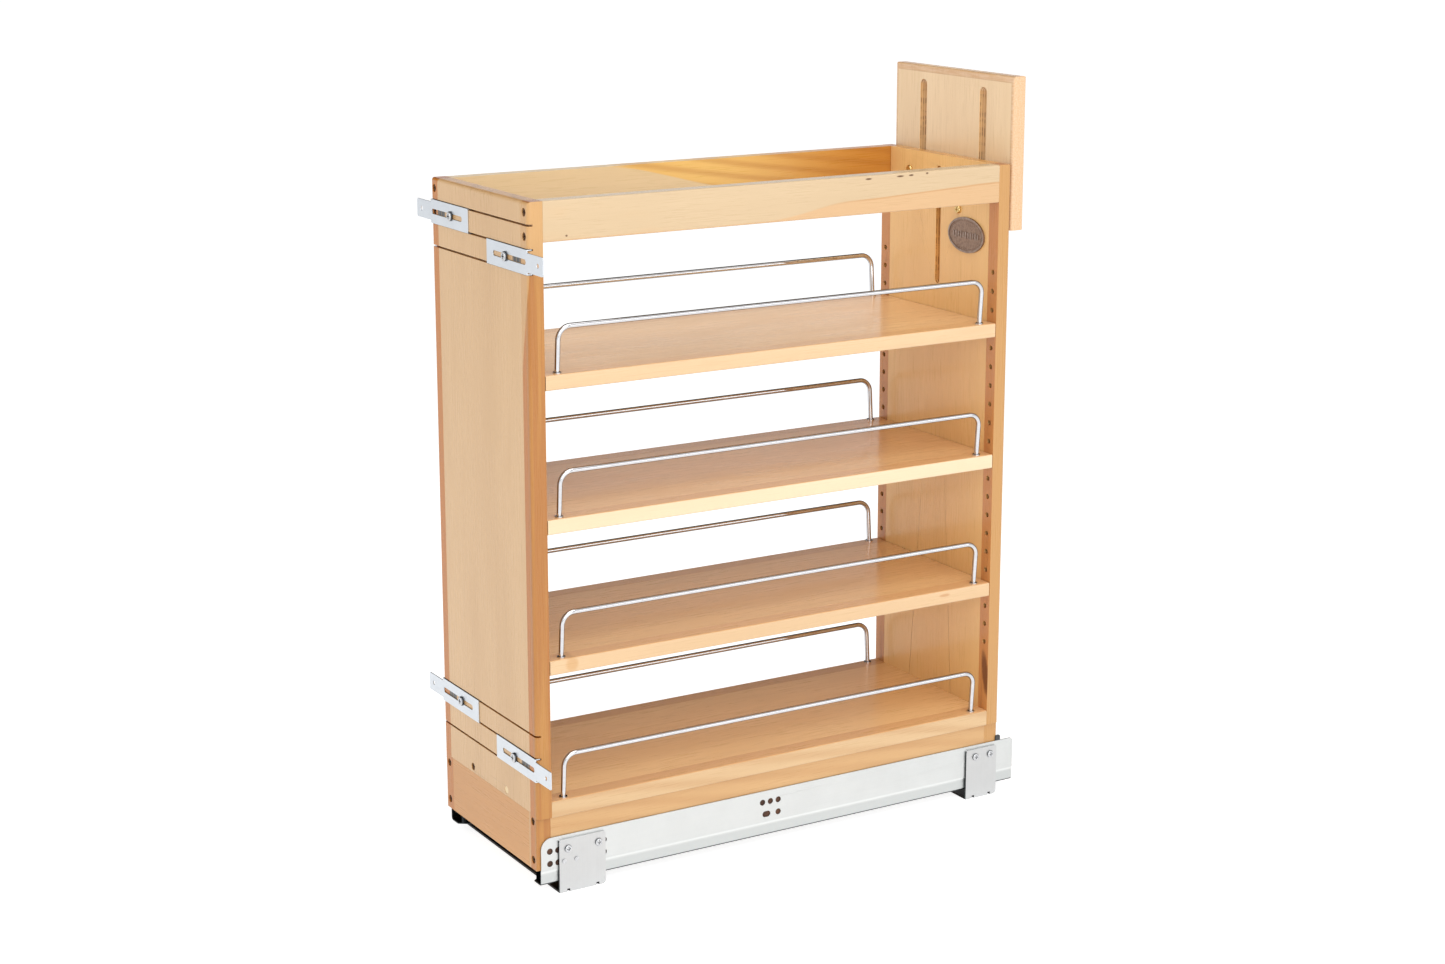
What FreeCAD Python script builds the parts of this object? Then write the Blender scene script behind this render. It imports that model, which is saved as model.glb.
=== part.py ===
"""Pull-out pantry organiser for a narrow base cabinet.

A tall wooden carrier with four railed shelves rolls out on a pair of full-extension undermount
slides. Two steel brackets hold the slides to the cabinet floor, and four slotted brackets on the
front board carry the cabinet door. Millimetres; +X right, -Y towards the user, +Z up. The origin
is on the floor plane at the centre of the four floor screw holes.
"""

import FreeCAD, Part
import math
import os

# ---- carrier ---------------------------------------------------------------------------------
WIDTH = 202.0
HALF = WIDTH / 2
BODY_DEPTH = 529.4
BOARD = 15.0
TOP_Z = 652.0
WOOD_BOTTOM_Z = 25.3
STEP_Z = 76.6
STEP_INSET = 3.6
FRONT_STILE = 14.5
REAR_STILE = 15.5
BASE_BOARD_HALF = 83.0
BASE_BOARD_TOP_Z = 80.0
EDGE_ROUND = 4.0
SMALL_ROUND = 1.5

Y_FRONT = -277.75
Y_FRONT_IN = Y_FRONT + BOARD
Y_REAR = Y_FRONT + BODY_DEPTH
Y_REAR_IN = Y_REAR - BOARD

APRON_HEIGHT = 37.0

# ---- shelves and rails -----------------------------------------------------------------------
HOLE_PITCH = 19.05
TOP_HOLE_Z = 545.15
HOLE_COUNT = 21
HOLE_R = 2.5
HOLE_DEPTH = 9.0
HOLE_X = 93.4
SHELF_THICK = 14.0
SHELF_GAP = 0.6
SHELF_EDGE = 19.0
SHELF_HOLES = {"upper": 3, "middle": 10, "lower": 17}
BOTTOM_SHELF_Z = 76.0
BOTTOM_SHELF_THICK = 16.0

SUPPORT_R = 2.0
SUPPORT_OFFSET = 4.0
KERF_CLEARANCE = 0.3
SHELF_KERF_DEPTH = 7.0
SHELF_KERF_END_X = 96.0

RAIL_R = 2.4
RAIL_HEIGHT = 43.0
RAIL_BEND = 12.0
RAIL_FOOT_X = 94.0
RAIL_FOOT_INSET = 15.5
RAIL_LEAN_DEG = 4.5
RAIL_PLUG = 9.0
RAIL_CLEARANCE = 0.05
COLLAR_R = 3.9
COLLAR_HEIGHT = 1.1

# ---- base and slides -------------------------------------------------------------------------
SKIRT_OUT_X = HALF - STEP_INSET
SKIRT_IN_X = SKIRT_OUT_X - BOARD
BASE_PANEL_Z = 38.0
BASE_PANEL_THICK = 12.0

STEEL = 1.2
WEB_OUT_X = 99.0
WEB_TOP_Z = 56.3
PROFILE_BOTTOM_Z = 10.0
WEB_JOG = 0.8
WEB_JOG_Z = 22.0
CABINET_PROFILE_START = 4.0
CABINET_PROFILE_END = 550.0
CHANNEL_IN_X = 64.0
CHANNEL_OUT_X = 81.5
HOOK_LENGTH = 6.0
INTERMEDIATE_X = (67.0, 79.0)
INTERMEDIATE_Z = (17.8, 29.8)
INTERMEDIATE_DEPTH = (17.0, 508.0)
HOOK_GAP = 0.5
CHANNEL_START = 17.0
FLANGE_TIP_X = 84.0
FLANGE_CUT_X = 74.0
BEND_ROUND = 3.0
WEB_FRONT_ROUND = 11.0
WEB_REAR_ROUND = 4.0
DRAWER_PROFILE_DEPTH = (17.0, 512.0)
WEB_HOLE_R = 3.0
FRONT_HOLE_DEPTHS = (13.2, 21.8, 70.2)
FRONT_HOLES_Z = (42.9, 30.7)
MIDDLE_HOLE_DEPTH = 255.0
MIDDLE_HOLE_PITCH = 9.0
MIDDLE_HOLES_Z = (44.8, 32.3)
ROLLER_GAP = 0.3
ROLLER_X = (68.0, 78.0)
CAGE_X = (66.2, 79.3)
CAGE_LENGTH = 200.0
CAGE_THICK = 2.2
LOWER_CAGE_DEPTH = 150.0
UPPER_CAGE_DEPTH = 160.0
ROLLERS = 6

# ---- rear caps, soft close and front locks ---------------------------------------------------
REAR_CAP_DEPTH = (528.0, 534.0)
REAR_CAP_HEIGHT = 6.0
REAR_CAP_ROUND = 2.5
SOFT_CLOSE_X = (83.0, 94.9)
SOFT_CLOSE_Z = (11.2, 22.0)
SOFT_CLOSE_DEPTH = (400.0, 505.0)
SOFT_CLOSE_WALL = 1.5
SOFT_CLOSE_LIFT = 0.2
LATCH_DEPTH = (425.0, 435.0)
LATCH_HALF = 3.8
DAMPER_DEPTH = 447.0
DAMPER_R = 3.6
PISTON_R = 1.3
STRIKER_DEPTH = (418.0, 424.0)
STRIKER_HALF = 2.0
STRIKER_BOTTOM_Z = 15.0
LOCK_X = (46.0, 62.5)
LOCK_DEPTH = (34.0, 57.0)
LOCK_Z = (26.0, 38.0)
LOCK_BACK_WALL = 5.0
LOCK_PIVOT_X = 54.5
LOCK_PIVOT_DEPTH = 43.0
LOCK_PIN_R = 2.5
LEVER_Z = (28.9, 33.7)
LEVER_GAP = 0.3
LEVER_BORE_CLEARANCE = 0.05
LEVER_HUB_R = 5.5
LEVER_ARM_HALF = 4.2
LEVER_PAD_X = (38.0, 50.0)
LEVER_PAD_DEPTH = (19.0, 25.0)
LEVER_PAD_ROUND = 2.0

# ---- floor brackets --------------------------------------------------------------------------
BRACKET_STEEL = 2.0
BRACKET_TOP_Z = 52.8
FRONT_BRACKET_DEPTH = (22.0, 71.0)
REAR_BRACKET_DEPTH = (490.0, 528.0)
FLOOR_HOLE_X = 60.0
FLOOR_HOLE_R = 2.6
EAR_ROUND = 2.5
HEEL_ROUND = 4.0
RELIEF = 3.0
FRONT_RELIEF = 7.8
REAR_RELIEF = 10.2
FRONT_EAR_SCREW_DEPTHS = (31.4, 63.6)
FRONT_EAR_SCREW_Z = 43.0
REAR_EAR_SCREW_DEPTHS = (501.5, 520.0)
REAR_EAR_SCREW_Z = 44.4
RIVET_DEPTHS = (27.0, 40.1)
RIVET_Z = 31.3
RIVET_R = 2.2
RIVET_HEIGHT = 0.5
EAR_SCREW_SHORT = 0.1

# ---- extension panel -------------------------------------------------------------------------
EXTENSION_HEIGHT = 151.0
EXTENSION_TOP_Z = 737.0
EXTENSION_GAP = 0.4
EXTENSION_SLOT_X = 50.8
EXTENSION_SLOT_R = 5.8
EXTENSION_SLOT_MARGIN = 14.0
CLAMP_SCREW_Z = 632.0
GUIDE_SLOT_R = 4.0
GUIDE_SLOT_Z = (520.6, 640.6)
GUIDE_BOLT_Z = 610.6
SPARE_SCREW_X = 34.4
SPARE_SCREW_Z = 600.6

# ---- badge -----------------------------------------------------------------------------------
BADGE_X = 49.6
BADGE_Z = 576.6
BADGE_HALF = (29.8, 17.8)
BADGE_THICK = 2.0
BADGE_RIM = 2.0
BADGE_WELL = 0.6

# ---- door brackets ---------------------------------------------------------------------------
KERF_PITCH = 21.8
KERF_HEIGHT = 1.8
KERF_DEPTH = 5.0
UPPER_KERF_Z = 631.2
LOWER_KERF_Z = 157.8
DOOR_STEEL = 1.0
DOOR_FLANGE = 4.2
DOOR_BODY = (19.3, 100.3)
DOOR_TAB_END = 131.3
DOOR_TAB_HEIGHT = 17.6
DOOR_SLOT = (32.4, 98.0)
DOOR_SLOT_R = 2.4
DOOR_SCREW_X = 57.0
DOOR_HOLE_X = 121.2
DOOR_HOLE_R = 2.1
DOOR_TAB_ROUND = 2.0
DOOR_PILOT_DEPTH = 12.0

# ---- wood screws -----------------------------------------------------------------------------
SCREW_HEAD_R = 3.6
SCREW_HEAD_HEIGHT = 2.2
SCREW_RECESS = 1.0
SCREW_SHANK_R = 1.9
SCREW_SHANK = 27.0
SCREW_CLEARANCE = 0.1
APRON_SCREW_X = 93.5
APRON_SCREWS_Z = (642.4, 620.8)
SKIRT_SCREW_X = 91.0
SKIRT_SCREWS_Z = (73.0, 35.0)
SHELF_SCREW_X = 36.5
SHELF_SCREW_Z = 86.0

# ---- domed screws (head radius, head height, shank radius), washers and nuts ------------------
DOOR_SCREW = (4.6, 2.2, 2.0)
EAR_SCREW = (3.7, 1.6, 1.8)
CLAMP_SCREW = (4.2, 2.6, 2.5)
SPARE_SCREW = (4.2, 2.6, 2.0)
GUIDE_BOLT = (7.0, 2.6, 3.5)
HEAD_GAP = 0.3
DOOR_HEAD_GAP = 0.1
WASHER_R = 9.0
WASHER_THICK = 1.2
CLAMP_NUT_R = 6.0
CLAMP_NUT_THICK = 3.0
GUIDE_NUT_R = 6.5
GUIDE_NUT_THICK = 4.0
RECESS_SHARE = 0.55

X_AXIS = FreeCAD.Vector(1, 0, 0)
Y_AXIS = FreeCAD.Vector(0, 1, 0)
Z_AXIS = FreeCAD.Vector(0, 0, 1)
TINY = 0.01


# ---- helpers ---------------------------------------------------------------------------------
def vec(x, y, z):
    return FreeCAD.Vector(x, y, z)


def depth(distance):
    """Y of a plane that lies this far behind the front face."""
    return Y_FRONT + distance


def block(x, y, z):
    """Box from three (low, high) spans."""
    size = [high - low for low, high in (x, y, z)]
    return Part.makeBox(*size, vec(x[0], y[0], z[0]))


def rod(start, direction, radius, length):
    return Part.makeCylinder(radius, length, start, direction)


def mirrored(shape):
    """The same shape on the other side of the X = 0 plane."""
    return shape.mirror(vec(0, 0, 0), X_AXIS)


def both_sides(shapes):
    return shapes + [mirrored(shape) for shape in shapes]


def sided(shape, side):
    return shape if side == "right" else mirrored(shape)


def rounded(solid, radius, wanted):
    """Fillet every straight edge whose bounding box passes the test."""
    edges = [edge for edge in solid.Edges if wanted(edge.BoundBox)]
    return solid.makeFillet(radius, edges)


def runs_along(axis, bounds):
    """True where an edge's bounding box is long in one named direction only."""
    lengths = {"x": bounds.XLength, "y": bounds.YLength, "z": bounds.ZLength}
    return all((length > TINY) == (name == axis) for name, length in lengths.items())


def prism(points, along, length):
    """Close an outline given as vectors and push it along a direction."""
    wire = Part.makePolygon(points + points[:1])
    return Part.Face(wire).extrude(along * length)


def slot_cutter(x, z, radius, y):
    """Stadium-shaped cutter through a board, from spans in X and Z; one of the spans is flat."""
    ends = [vec(x[0], y[0], z[0]), vec(x[1], y[0], z[1])]
    cutter = rod(ends[0], Y_AXIS, radius, y[1] - y[0])
    cutter = cutter.fuse(rod(ends[1], Y_AXIS, radius, y[1] - y[0]))
    if x[0] == x[1]:
        middle = block((x[0] - radius, x[0] + radius), y, z)
    else:
        middle = block(x, y, (z[0] - radius, z[0] + radius))
    return cutter.fuse(middle).removeSplitter()


def cross_recess(centre, direction, radius, deep):
    """Cross-shaped driver recess in the top of a screw head that faces along direction."""
    wide = radius * 0.95
    thin = radius * 0.22
    if abs(direction.x) > 0.5:
        first = block((-deep, deep), (-wide, wide), (-thin, thin))
        second = block((-deep, deep), (-thin, thin), (-wide, wide))
    else:
        first = block((-wide, wide), (-deep, deep), (-thin, thin))
        second = block((-thin, thin), (-deep, deep), (-wide, wide))
    cross = first.fuse(second)
    cross.translate(centre)
    return cross


def pan_screw(seat, outward, sizes, shank_length):
    """Screw with a domed head that sits on the seat point and faces outward."""
    head_r, head_height, shank_r = sizes
    head = rod(seat, outward, head_r, head_height)
    rim = [edge for edge in head.Edges
           if len(edge.Vertexes) == 1
           and (edge.CenterOfMass - seat).dot(outward) > head_height - TINY]
    head = head.makeFillet(head_height * RECESS_SHARE, rim)
    top = seat + outward * head_height
    head = head.cut(cross_recess(top, outward, head_r * RECESS_SHARE, head_height / 2))
    shank = rod(seat, outward * -1, shank_r, shank_length)
    return head.fuse(shank).removeSplitter()


# ---- wood screws and the holes they need -----------------------------------------------------
def wood_screw_places():
    """(x, z) of the screws that go through the front board, and the same through the rear."""
    places = [(APRON_SCREW_X, z) for z in APRON_SCREWS_Z]
    places += [(SKIRT_SCREW_X, z) for z in SKIRT_SCREWS_Z]
    places.append((SHELF_SCREW_X, SHELF_SCREW_Z))
    return places + [(-x, z) for x, z in places]


def wood_screw(x, z, face_y, inward):
    """Countersunk-style screw sunk just below a face; inward is +Y or -Y."""
    top = vec(x, face_y, z) + inward * SCREW_RECESS
    head = rod(top, inward, SCREW_HEAD_R, SCREW_HEAD_HEIGHT)
    head = head.cut(cross_recess(top, inward, SCREW_HEAD_R * 0.6, SCREW_HEAD_HEIGHT * 0.6))
    shank = rod(top + inward * SCREW_HEAD_HEIGHT, inward, SCREW_SHANK_R, SCREW_SHANK)
    return head.fuse(shank).removeSplitter()


def wood_screw_hole(x, z, face_y, inward):
    bore_r = SCREW_HEAD_R + SCREW_CLEARANCE
    hole_r = SCREW_SHANK_R + SCREW_CLEARANCE
    bore = SCREW_RECESS + SCREW_HEAD_HEIGHT
    face = vec(x, face_y, z)
    wide = rod(face - inward, inward, bore_r, bore + 1)
    narrow = rod(face, inward, hole_r, bore + SCREW_SHANK + SCREW_CLEARANCE)
    return wide.fuse(narrow)


def drilled(board):
    """Cut the wood screw holes that reach this board."""
    for face_y, inward in ((Y_FRONT, Y_AXIS), (Y_REAR, Y_AXIS * -1)):
        for x, z in wood_screw_places():
            hole = wood_screw_hole(x, z, face_y, inward)
            if hole.BoundBox.intersect(board.BoundBox):
                board = board.cut(hole)
    return board


def wood_screws():
    screws = []
    for face_y, inward in ((Y_FRONT, Y_AXIS), (Y_REAR, Y_AXIS * -1)):
        screws += [wood_screw(x, z, face_y, inward) for x, z in wood_screw_places()]
    return screws


# ---- end boards ------------------------------------------------------------------------------
def end_blank(y_span, outer_y):
    """Full-width board, narrower below the step, with softened outer edges."""
    wide = block((-HALF, HALF), y_span, (STEP_Z, TOP_Z))

    def soft(bounds):
        at_face = abs(bounds.YMin - outer_y) < TINY and bounds.YLength < TINY
        upright = runs_along("z", bounds)
        top = runs_along("x", bounds) and bounds.ZMin > TOP_Z - TINY
        return at_face and (upright or top)

    wide = rounded(wide, EDGE_ROUND, soft)
    low_half = HALF - STEP_INSET
    narrow = block((-low_half, low_half), y_span, (WOOD_BOTTOM_Z, STEP_Z))
    return wide.fuse(narrow).removeSplitter()


def door_kerfs():
    """Six saw kerfs across the front board, three near the top and three near the bottom."""
    cutters = []
    for top_z in (UPPER_KERF_Z, LOWER_KERF_Z):
        for index in range(3):
            z = top_z - index * KERF_PITCH
            span = (z - KERF_HEIGHT / 2, z + KERF_HEIGHT / 2)
            cutters.append(block((-HALF - 1, HALF + 1), (Y_FRONT - 1, Y_FRONT + KERF_DEPTH), span))
    return Part.makeCompound(cutters)


def pin_holes(x, face_y, inward):
    """One column of shelf support holes in a stile."""
    start = face_y - inward.y
    holes = []
    for index in range(HOLE_COUNT):
        z = TOP_HOLE_Z - index * HOLE_PITCH
        holes.append(rod(vec(x, start, z), inward, HOLE_R, HOLE_DEPTH + 1))
    return Part.makeCompound(holes)


def front_board():
    """Plywood panel, two solid stiles and the board that closes the base."""
    y_span = (Y_FRONT, Y_FRONT_IN)
    blank = end_blank(y_span, Y_FRONT).cut(door_kerfs())
    for x in (-DOOR_SCREW_X, DOOR_SCREW_X):
        for z in door_screw_heights(x):
            blank = blank.cut(rod(vec(x, Y_FRONT - 1, z), Y_AXIS, DOOR_HOLE_R, DOOR_PILOT_DEPTH + 1))
    inner = HALF - FRONT_STILE
    panel = block((-inner, inner), y_span, (BASE_BOARD_TOP_Z, TOP_Z))
    base = block((-BASE_BOARD_HALF, BASE_BOARD_HALF), y_span, (WOOD_BOTTOM_Z, BASE_BOARD_TOP_Z))
    middle = panel.fuse(base)
    nodes = {"front_panel": drilled(blank.common(panel)),
             "front_base_board": drilled(blank.common(base))}
    for side, sign in (("left", -1), ("right", 1)):
        half_space = block((min(0, sign * WIDTH), max(0, sign * WIDTH)), y_span, (0, TOP_Z))
        stile = blank.common(half_space).cut(middle)
        stile = stile.cut(pin_holes(sign * HOLE_X, Y_FRONT_IN, Y_AXIS * -1))
        nodes["front_stile_" + side] = drilled(stile)
    return nodes


def rear_board():
    """Plywood panel with the guide slot, and two solid stiles that reach below it."""
    y_span = (Y_REAR_IN, Y_REAR)
    blank = end_blank(y_span, Y_REAR)
    cut_span = (Y_REAR_IN - 1, Y_REAR + 1)
    slot_z = (GUIDE_SLOT_Z[0] + GUIDE_SLOT_R, GUIDE_SLOT_Z[1] - GUIDE_SLOT_R)
    blank = blank.cut(slot_cutter((0, 0), slot_z, GUIDE_SLOT_R, cut_span))
    for x, z, sizes in brass_screw_places():
        blank = blank.cut(rod(vec(x, cut_span[0], z), Y_AXIS, sizes[2] + TINY, BOARD + 2))
    inner = HALF - REAR_STILE
    panel = block((-inner, inner), y_span, (BASE_PANEL_Z, TOP_Z))
    nodes = {"rear_panel": drilled(blank.common(panel))}
    for side, sign in (("left", -1), ("right", 1)):
        x_span = sorted((sign * inner, sign * HALF))
        stile = blank.common(block(x_span, y_span, (0, TOP_Z)))
        stile = stile.cut(pin_holes(sign * HOLE_X, Y_REAR_IN, Y_AXIS))
        nodes["rear_stile_" + side] = drilled(stile)
    return nodes


def long_board(x, z, edge_round):
    """Board between the two end boards with its outer long edges softened."""
    board = block(x, (Y_FRONT_IN, Y_REAR_IN), z)
    if edge_round:
        outer = x[1]
        board = rounded(board, edge_round, lambda bounds: (
            runs_along("y", bounds) and abs(bounds.XMin - outer) < TINY))
    return board


def side_boards():
    """Top aprons and base skirts."""
    apron = long_board((HALF - BOARD, HALF), (TOP_Z - APRON_HEIGHT, TOP_Z), SMALL_ROUND)
    skirt = long_board((SKIRT_IN_X, SKIRT_OUT_X), (WOOD_BOTTOM_Z, BOTTOM_SHELF_Z), 0)
    nodes = {}
    for side in ("left", "right"):
        nodes["top_apron_" + side] = drilled(sided(apron, side))
        nodes["side_skirt_" + side] = drilled(sided(skirt, side))
    return nodes


# ---- wire rails ------------------------------------------------------------------------------
def rail_frame(shape, shelf_top_z):
    """Lean a rail or its cutter outwards about its feet on the right-hand edge."""
    foot = vec(RAIL_FOOT_X, 0, shelf_top_z)
    leaned = shape.copy()
    leaned.rotate(foot, Y_AXIS, RAIL_LEAN_DEG)
    return leaned


def rail_ends():
    return (Y_FRONT_IN + RAIL_FOOT_INSET, Y_REAR_IN - RAIL_FOOT_INSET)


def wire_rail(shelf_top_z):
    """Round wire bent into a long low hoop, with a collar at each foot, on the right edge."""
    low, high = rail_ends()
    x = RAIL_FOOT_X
    foot_z = shelf_top_z - RAIL_PLUG
    top_z = shelf_top_z + RAIL_HEIGHT
    turn = RAIL_BEND * math.sin(math.pi / 4)
    shoulder = top_z - RAIL_BEND
    path = Part.Wire([
        Part.LineSegment(vec(x, low, foot_z), vec(x, low, shoulder)).toShape(),
        Part.Arc(vec(x, low, shoulder),
                 vec(x, low + RAIL_BEND - turn, shoulder + turn),
                 vec(x, low + RAIL_BEND, top_z)).toShape(),
        Part.LineSegment(vec(x, low + RAIL_BEND, top_z),
                         vec(x, high - RAIL_BEND, top_z)).toShape(),
        Part.Arc(vec(x, high - RAIL_BEND, top_z),
                 vec(x, high - RAIL_BEND + turn, shoulder + turn),
                 vec(x, high, shoulder)).toShape(),
        Part.LineSegment(vec(x, high, shoulder), vec(x, high, foot_z)).toShape(),
    ])
    section = Part.Wire(Part.makeCircle(RAIL_R, vec(x, low, foot_z), Z_AXIS))
    hoop = rail_frame(path.makePipeShell([section], True, False), shelf_top_z)
    for y in (low, high):
        collar = rod(vec(x, y, shelf_top_z), Z_AXIS, COLLAR_R, COLLAR_HEIGHT)
        hoop = hoop.fuse(collar)
    return hoop.removeSplitter()


def rail_holes(shelf_top_z):
    """Leaning holes for the two feet of the rail on the right edge."""
    radius = RAIL_R + RAIL_CLEARANCE
    length = RAIL_PLUG + 2
    holes = []
    for y in rail_ends():
        start = vec(RAIL_FOOT_X, y, shelf_top_z - RAIL_PLUG - RAIL_CLEARANCE)
        holes.append(rail_frame(rod(start, Z_AXIS, radius, length), shelf_top_z))
    return holes


# ---- shelves ---------------------------------------------------------------------------------
def shelf_boards(bottom_z, thick, y_span):
    """Plywood shelf with a solid strip along each long edge, drilled for the rail feet."""
    top_z = bottom_z + thick
    inner = HALF - SHELF_EDGE
    board = block((-inner, inner), y_span, (bottom_z, top_z))
    strip = block((inner, HALF), y_span, (bottom_z, top_z))
    strip = rounded(strip, SMALL_ROUND, lambda bounds: (
        runs_along("y", bounds) and bounds.XMin > HALF - TINY))
    for hole in rail_holes(top_z):
        strip = strip.cut(hole)
    return board, both_sides([strip])


def shelf_centre_z(name):
    return TOP_HOLE_Z - SHELF_HOLES[name] * HOLE_PITCH


def support_wires():
    """Hidden wires whose ends sit in the stile holes and whose bars slide into the shelf ends."""
    wires = []
    for name in SHELF_HOLES:
        z = shelf_centre_z(name)
        for face_y, inward in ((Y_FRONT_IN, Y_AXIS), (Y_REAR_IN, Y_AXIS * -1)):
            bar_y = face_y + inward.y * SUPPORT_OFFSET
            plug_y = face_y - inward.y * (HOLE_DEPTH - 1)
            corners = [vec(-HOLE_X, plug_y, z), vec(-HOLE_X, bar_y, z),
                       vec(HOLE_X, bar_y, z), vec(HOLE_X, plug_y, z)]
            wire = Part.makeSphere(SUPPORT_R, corners[1])
            wire = wire.fuse(Part.makeSphere(SUPPORT_R, corners[2]))
            for start, end in zip(corners, corners[1:]):
                run = end - start
                wire = wire.fuse(rod(start, run, SUPPORT_R, run.Length))
            wires.append(wire.removeSplitter())
    return wires


def support_kerfs(z):
    """Kerfs in the two ends of a shelf, open on the left and stopped short of the right edge."""
    half_height = SUPPORT_R + KERF_CLEARANCE
    x_span = (-HALF - 1, SHELF_KERF_END_X)
    z_span = (z - half_height, z + half_height)
    low = (Y_FRONT_IN, Y_FRONT_IN + SHELF_GAP + SHELF_KERF_DEPTH)
    high = (Y_REAR_IN - SHELF_GAP - SHELF_KERF_DEPTH, Y_REAR_IN)
    return [block(x_span, y_span, z_span) for y_span in (low, high)]


def adjustable_shelf(name):
    """One shelf that lifts out sideways along its support wires."""
    centre_z = shelf_centre_z(name)
    bottom_z = centre_z - SHELF_THICK / 2
    y_span = (Y_FRONT_IN + SHELF_GAP, Y_REAR_IN - SHELF_GAP)
    board, strips = shelf_boards(bottom_z, SHELF_THICK, y_span)
    for kerf in support_kerfs(centre_z):
        board = board.cut(kerf)
        strips = [strip.cut(kerf) for strip in strips]
    rail = wire_rail(bottom_z + SHELF_THICK)
    label = name + "_shelf"
    return {label: board,
            label + "_edges": Part.makeCompound(strips),
            name + "_rail_left": mirrored(rail),
            name + "_rail_right": rail}


def bottom_shelf():
    """Fixed bottom shelf, its rails and the panel below it that the slides carry."""
    board, strips = shelf_boards(BOTTOM_SHELF_Z, BOTTOM_SHELF_THICK, (Y_FRONT_IN, Y_REAR_IN))
    rail = wire_rail(BOTTOM_SHELF_Z + BOTTOM_SHELF_THICK)
    base = block((-SKIRT_IN_X, SKIRT_IN_X), (Y_FRONT_IN, Y_REAR_IN),
                 (BASE_PANEL_Z, BASE_PANEL_Z + BASE_PANEL_THICK))
    return {"bottom_shelf": drilled(board),
            "bottom_shelf_edges": Part.makeCompound(strips),
            "bottom_rail_left": mirrored(rail),
            "bottom_rail_right": rail,
            "base_panel": base}


# ---- extension panel and its fasteners -------------------------------------------------------
def brass_screw_places():
    """(x, z, sizes) of the screws through the rear board."""
    places = []
    for sign in (-1, 1):
        places.append((sign * EXTENSION_SLOT_X, CLAMP_SCREW_Z, CLAMP_SCREW))
        places.append((sign * SPARE_SCREW_X, SPARE_SCREW_Z, SPARE_SCREW))
    return places


def brass_screws():
    """Two long clamp screws with washers and nuts, and two short screws."""
    washer_y = Y_REAR + EXTENSION_GAP + BOARD + HEAD_GAP
    nut_y = washer_y + WASHER_THICK
    end_y = nut_y + CLAMP_NUT_THICK
    solids = []
    for x, z, sizes in brass_screw_places():
        seat = vec(x, Y_REAR_IN, z)
        length = end_y - Y_REAR_IN if sizes == CLAMP_SCREW else BOARD - 2
        solids.append(pan_screw(seat, Y_AXIS * -1, sizes, length))
        if sizes == CLAMP_SCREW:
            bore = rod(vec(x, washer_y - 1, z), Y_AXIS, sizes[2] + TINY, end_y - washer_y + 2)
            washer = rod(vec(x, washer_y, z), Y_AXIS, WASHER_R, WASHER_THICK)
            nut = rod(vec(x, nut_y, z), Y_AXIS, CLAMP_NUT_R, CLAMP_NUT_THICK)
            solids += [washer.cut(bore), nut.cut(bore)]
    return solids


def extension_panel():
    """Panel behind the rear board that slides up on two slots to reach the cabinet top."""
    y_span = (Y_REAR + EXTENSION_GAP, Y_REAR + EXTENSION_GAP + BOARD)
    z_span = (EXTENSION_TOP_Z - EXTENSION_HEIGHT, EXTENSION_TOP_Z)
    panel = block((-HALF, HALF), y_span, z_span)
    panel = rounded(panel, EDGE_ROUND * 0.75, lambda bounds: (
        runs_along("z", bounds) or (runs_along("x", bounds) and bounds.ZMin > z_span[1] - TINY)))
    cut_span = (y_span[0] - 1, y_span[1] + 1)
    reach = EXTENSION_SLOT_MARGIN + EXTENSION_SLOT_R
    slot_z = (z_span[0] + reach, z_span[1] - reach)
    for x in (-EXTENSION_SLOT_X, EXTENSION_SLOT_X):
        panel = panel.cut(slot_cutter((x, x), slot_z, EXTENSION_SLOT_R, cut_span))
    bolt_hole = rod(vec(0, cut_span[0], GUIDE_BOLT_Z), Y_AXIS, GUIDE_BOLT[2] + TINY, BOARD + 2)
    return panel.cut(bolt_hole)


def guide_bolt():
    """Bolt through the extension panel whose shank runs in the slot of the rear board."""
    seat = vec(0, Y_REAR_IN - HEAD_GAP, GUIDE_BOLT_Z)
    back_y = Y_REAR + EXTENSION_GAP + BOARD
    length = back_y + GUIDE_NUT_THICK - seat.y
    bolt = pan_screw(seat, Y_AXIS * -1, GUIDE_BOLT, length)
    nut = rod(vec(0, back_y, GUIDE_BOLT_Z), Y_AXIS, GUIDE_NUT_R, GUIDE_NUT_THICK)
    return [bolt, nut.cut(rod(seat, Y_AXIS, GUIDE_BOLT[2] + TINY, length + 1))]


def badge():
    """Plain oval badge with a raised rim on the inner face of the rear board."""
    def oval(shrink, thick):
        shape = Part.Ellipse(vec(0, 0, 0), BADGE_HALF[0] - shrink, BADGE_HALF[1] - shrink).toShape()
        return Part.Face(Part.Wire(shape)).extrude(Z_AXIS * thick)

    plate = oval(0, BADGE_THICK)
    well = oval(BADGE_RIM, BADGE_THICK)
    well.translate(vec(0, 0, BADGE_THICK - BADGE_WELL))
    plate = plate.cut(well)
    plate.rotate(vec(0, 0, 0), X_AXIS, 90)
    plate.translate(vec(BADGE_X, Y_REAR_IN, BADGE_Z))
    return plate


# ---- door brackets ---------------------------------------------------------------------------
def door_bracket_centre(level, side):
    """Left brackets use the upper pair of kerfs, right ones the lower pair."""
    top_z = UPPER_KERF_Z if level == "upper" else LOWER_KERF_Z
    pair = 0.5 if side == "left" else 1.5
    return top_z - pair * KERF_PITCH


def door_screw_heights(x):
    side = "left" if x < 0 else "right"
    return [door_bracket_centre(level, side) for level in ("upper", "lower")]


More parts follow.
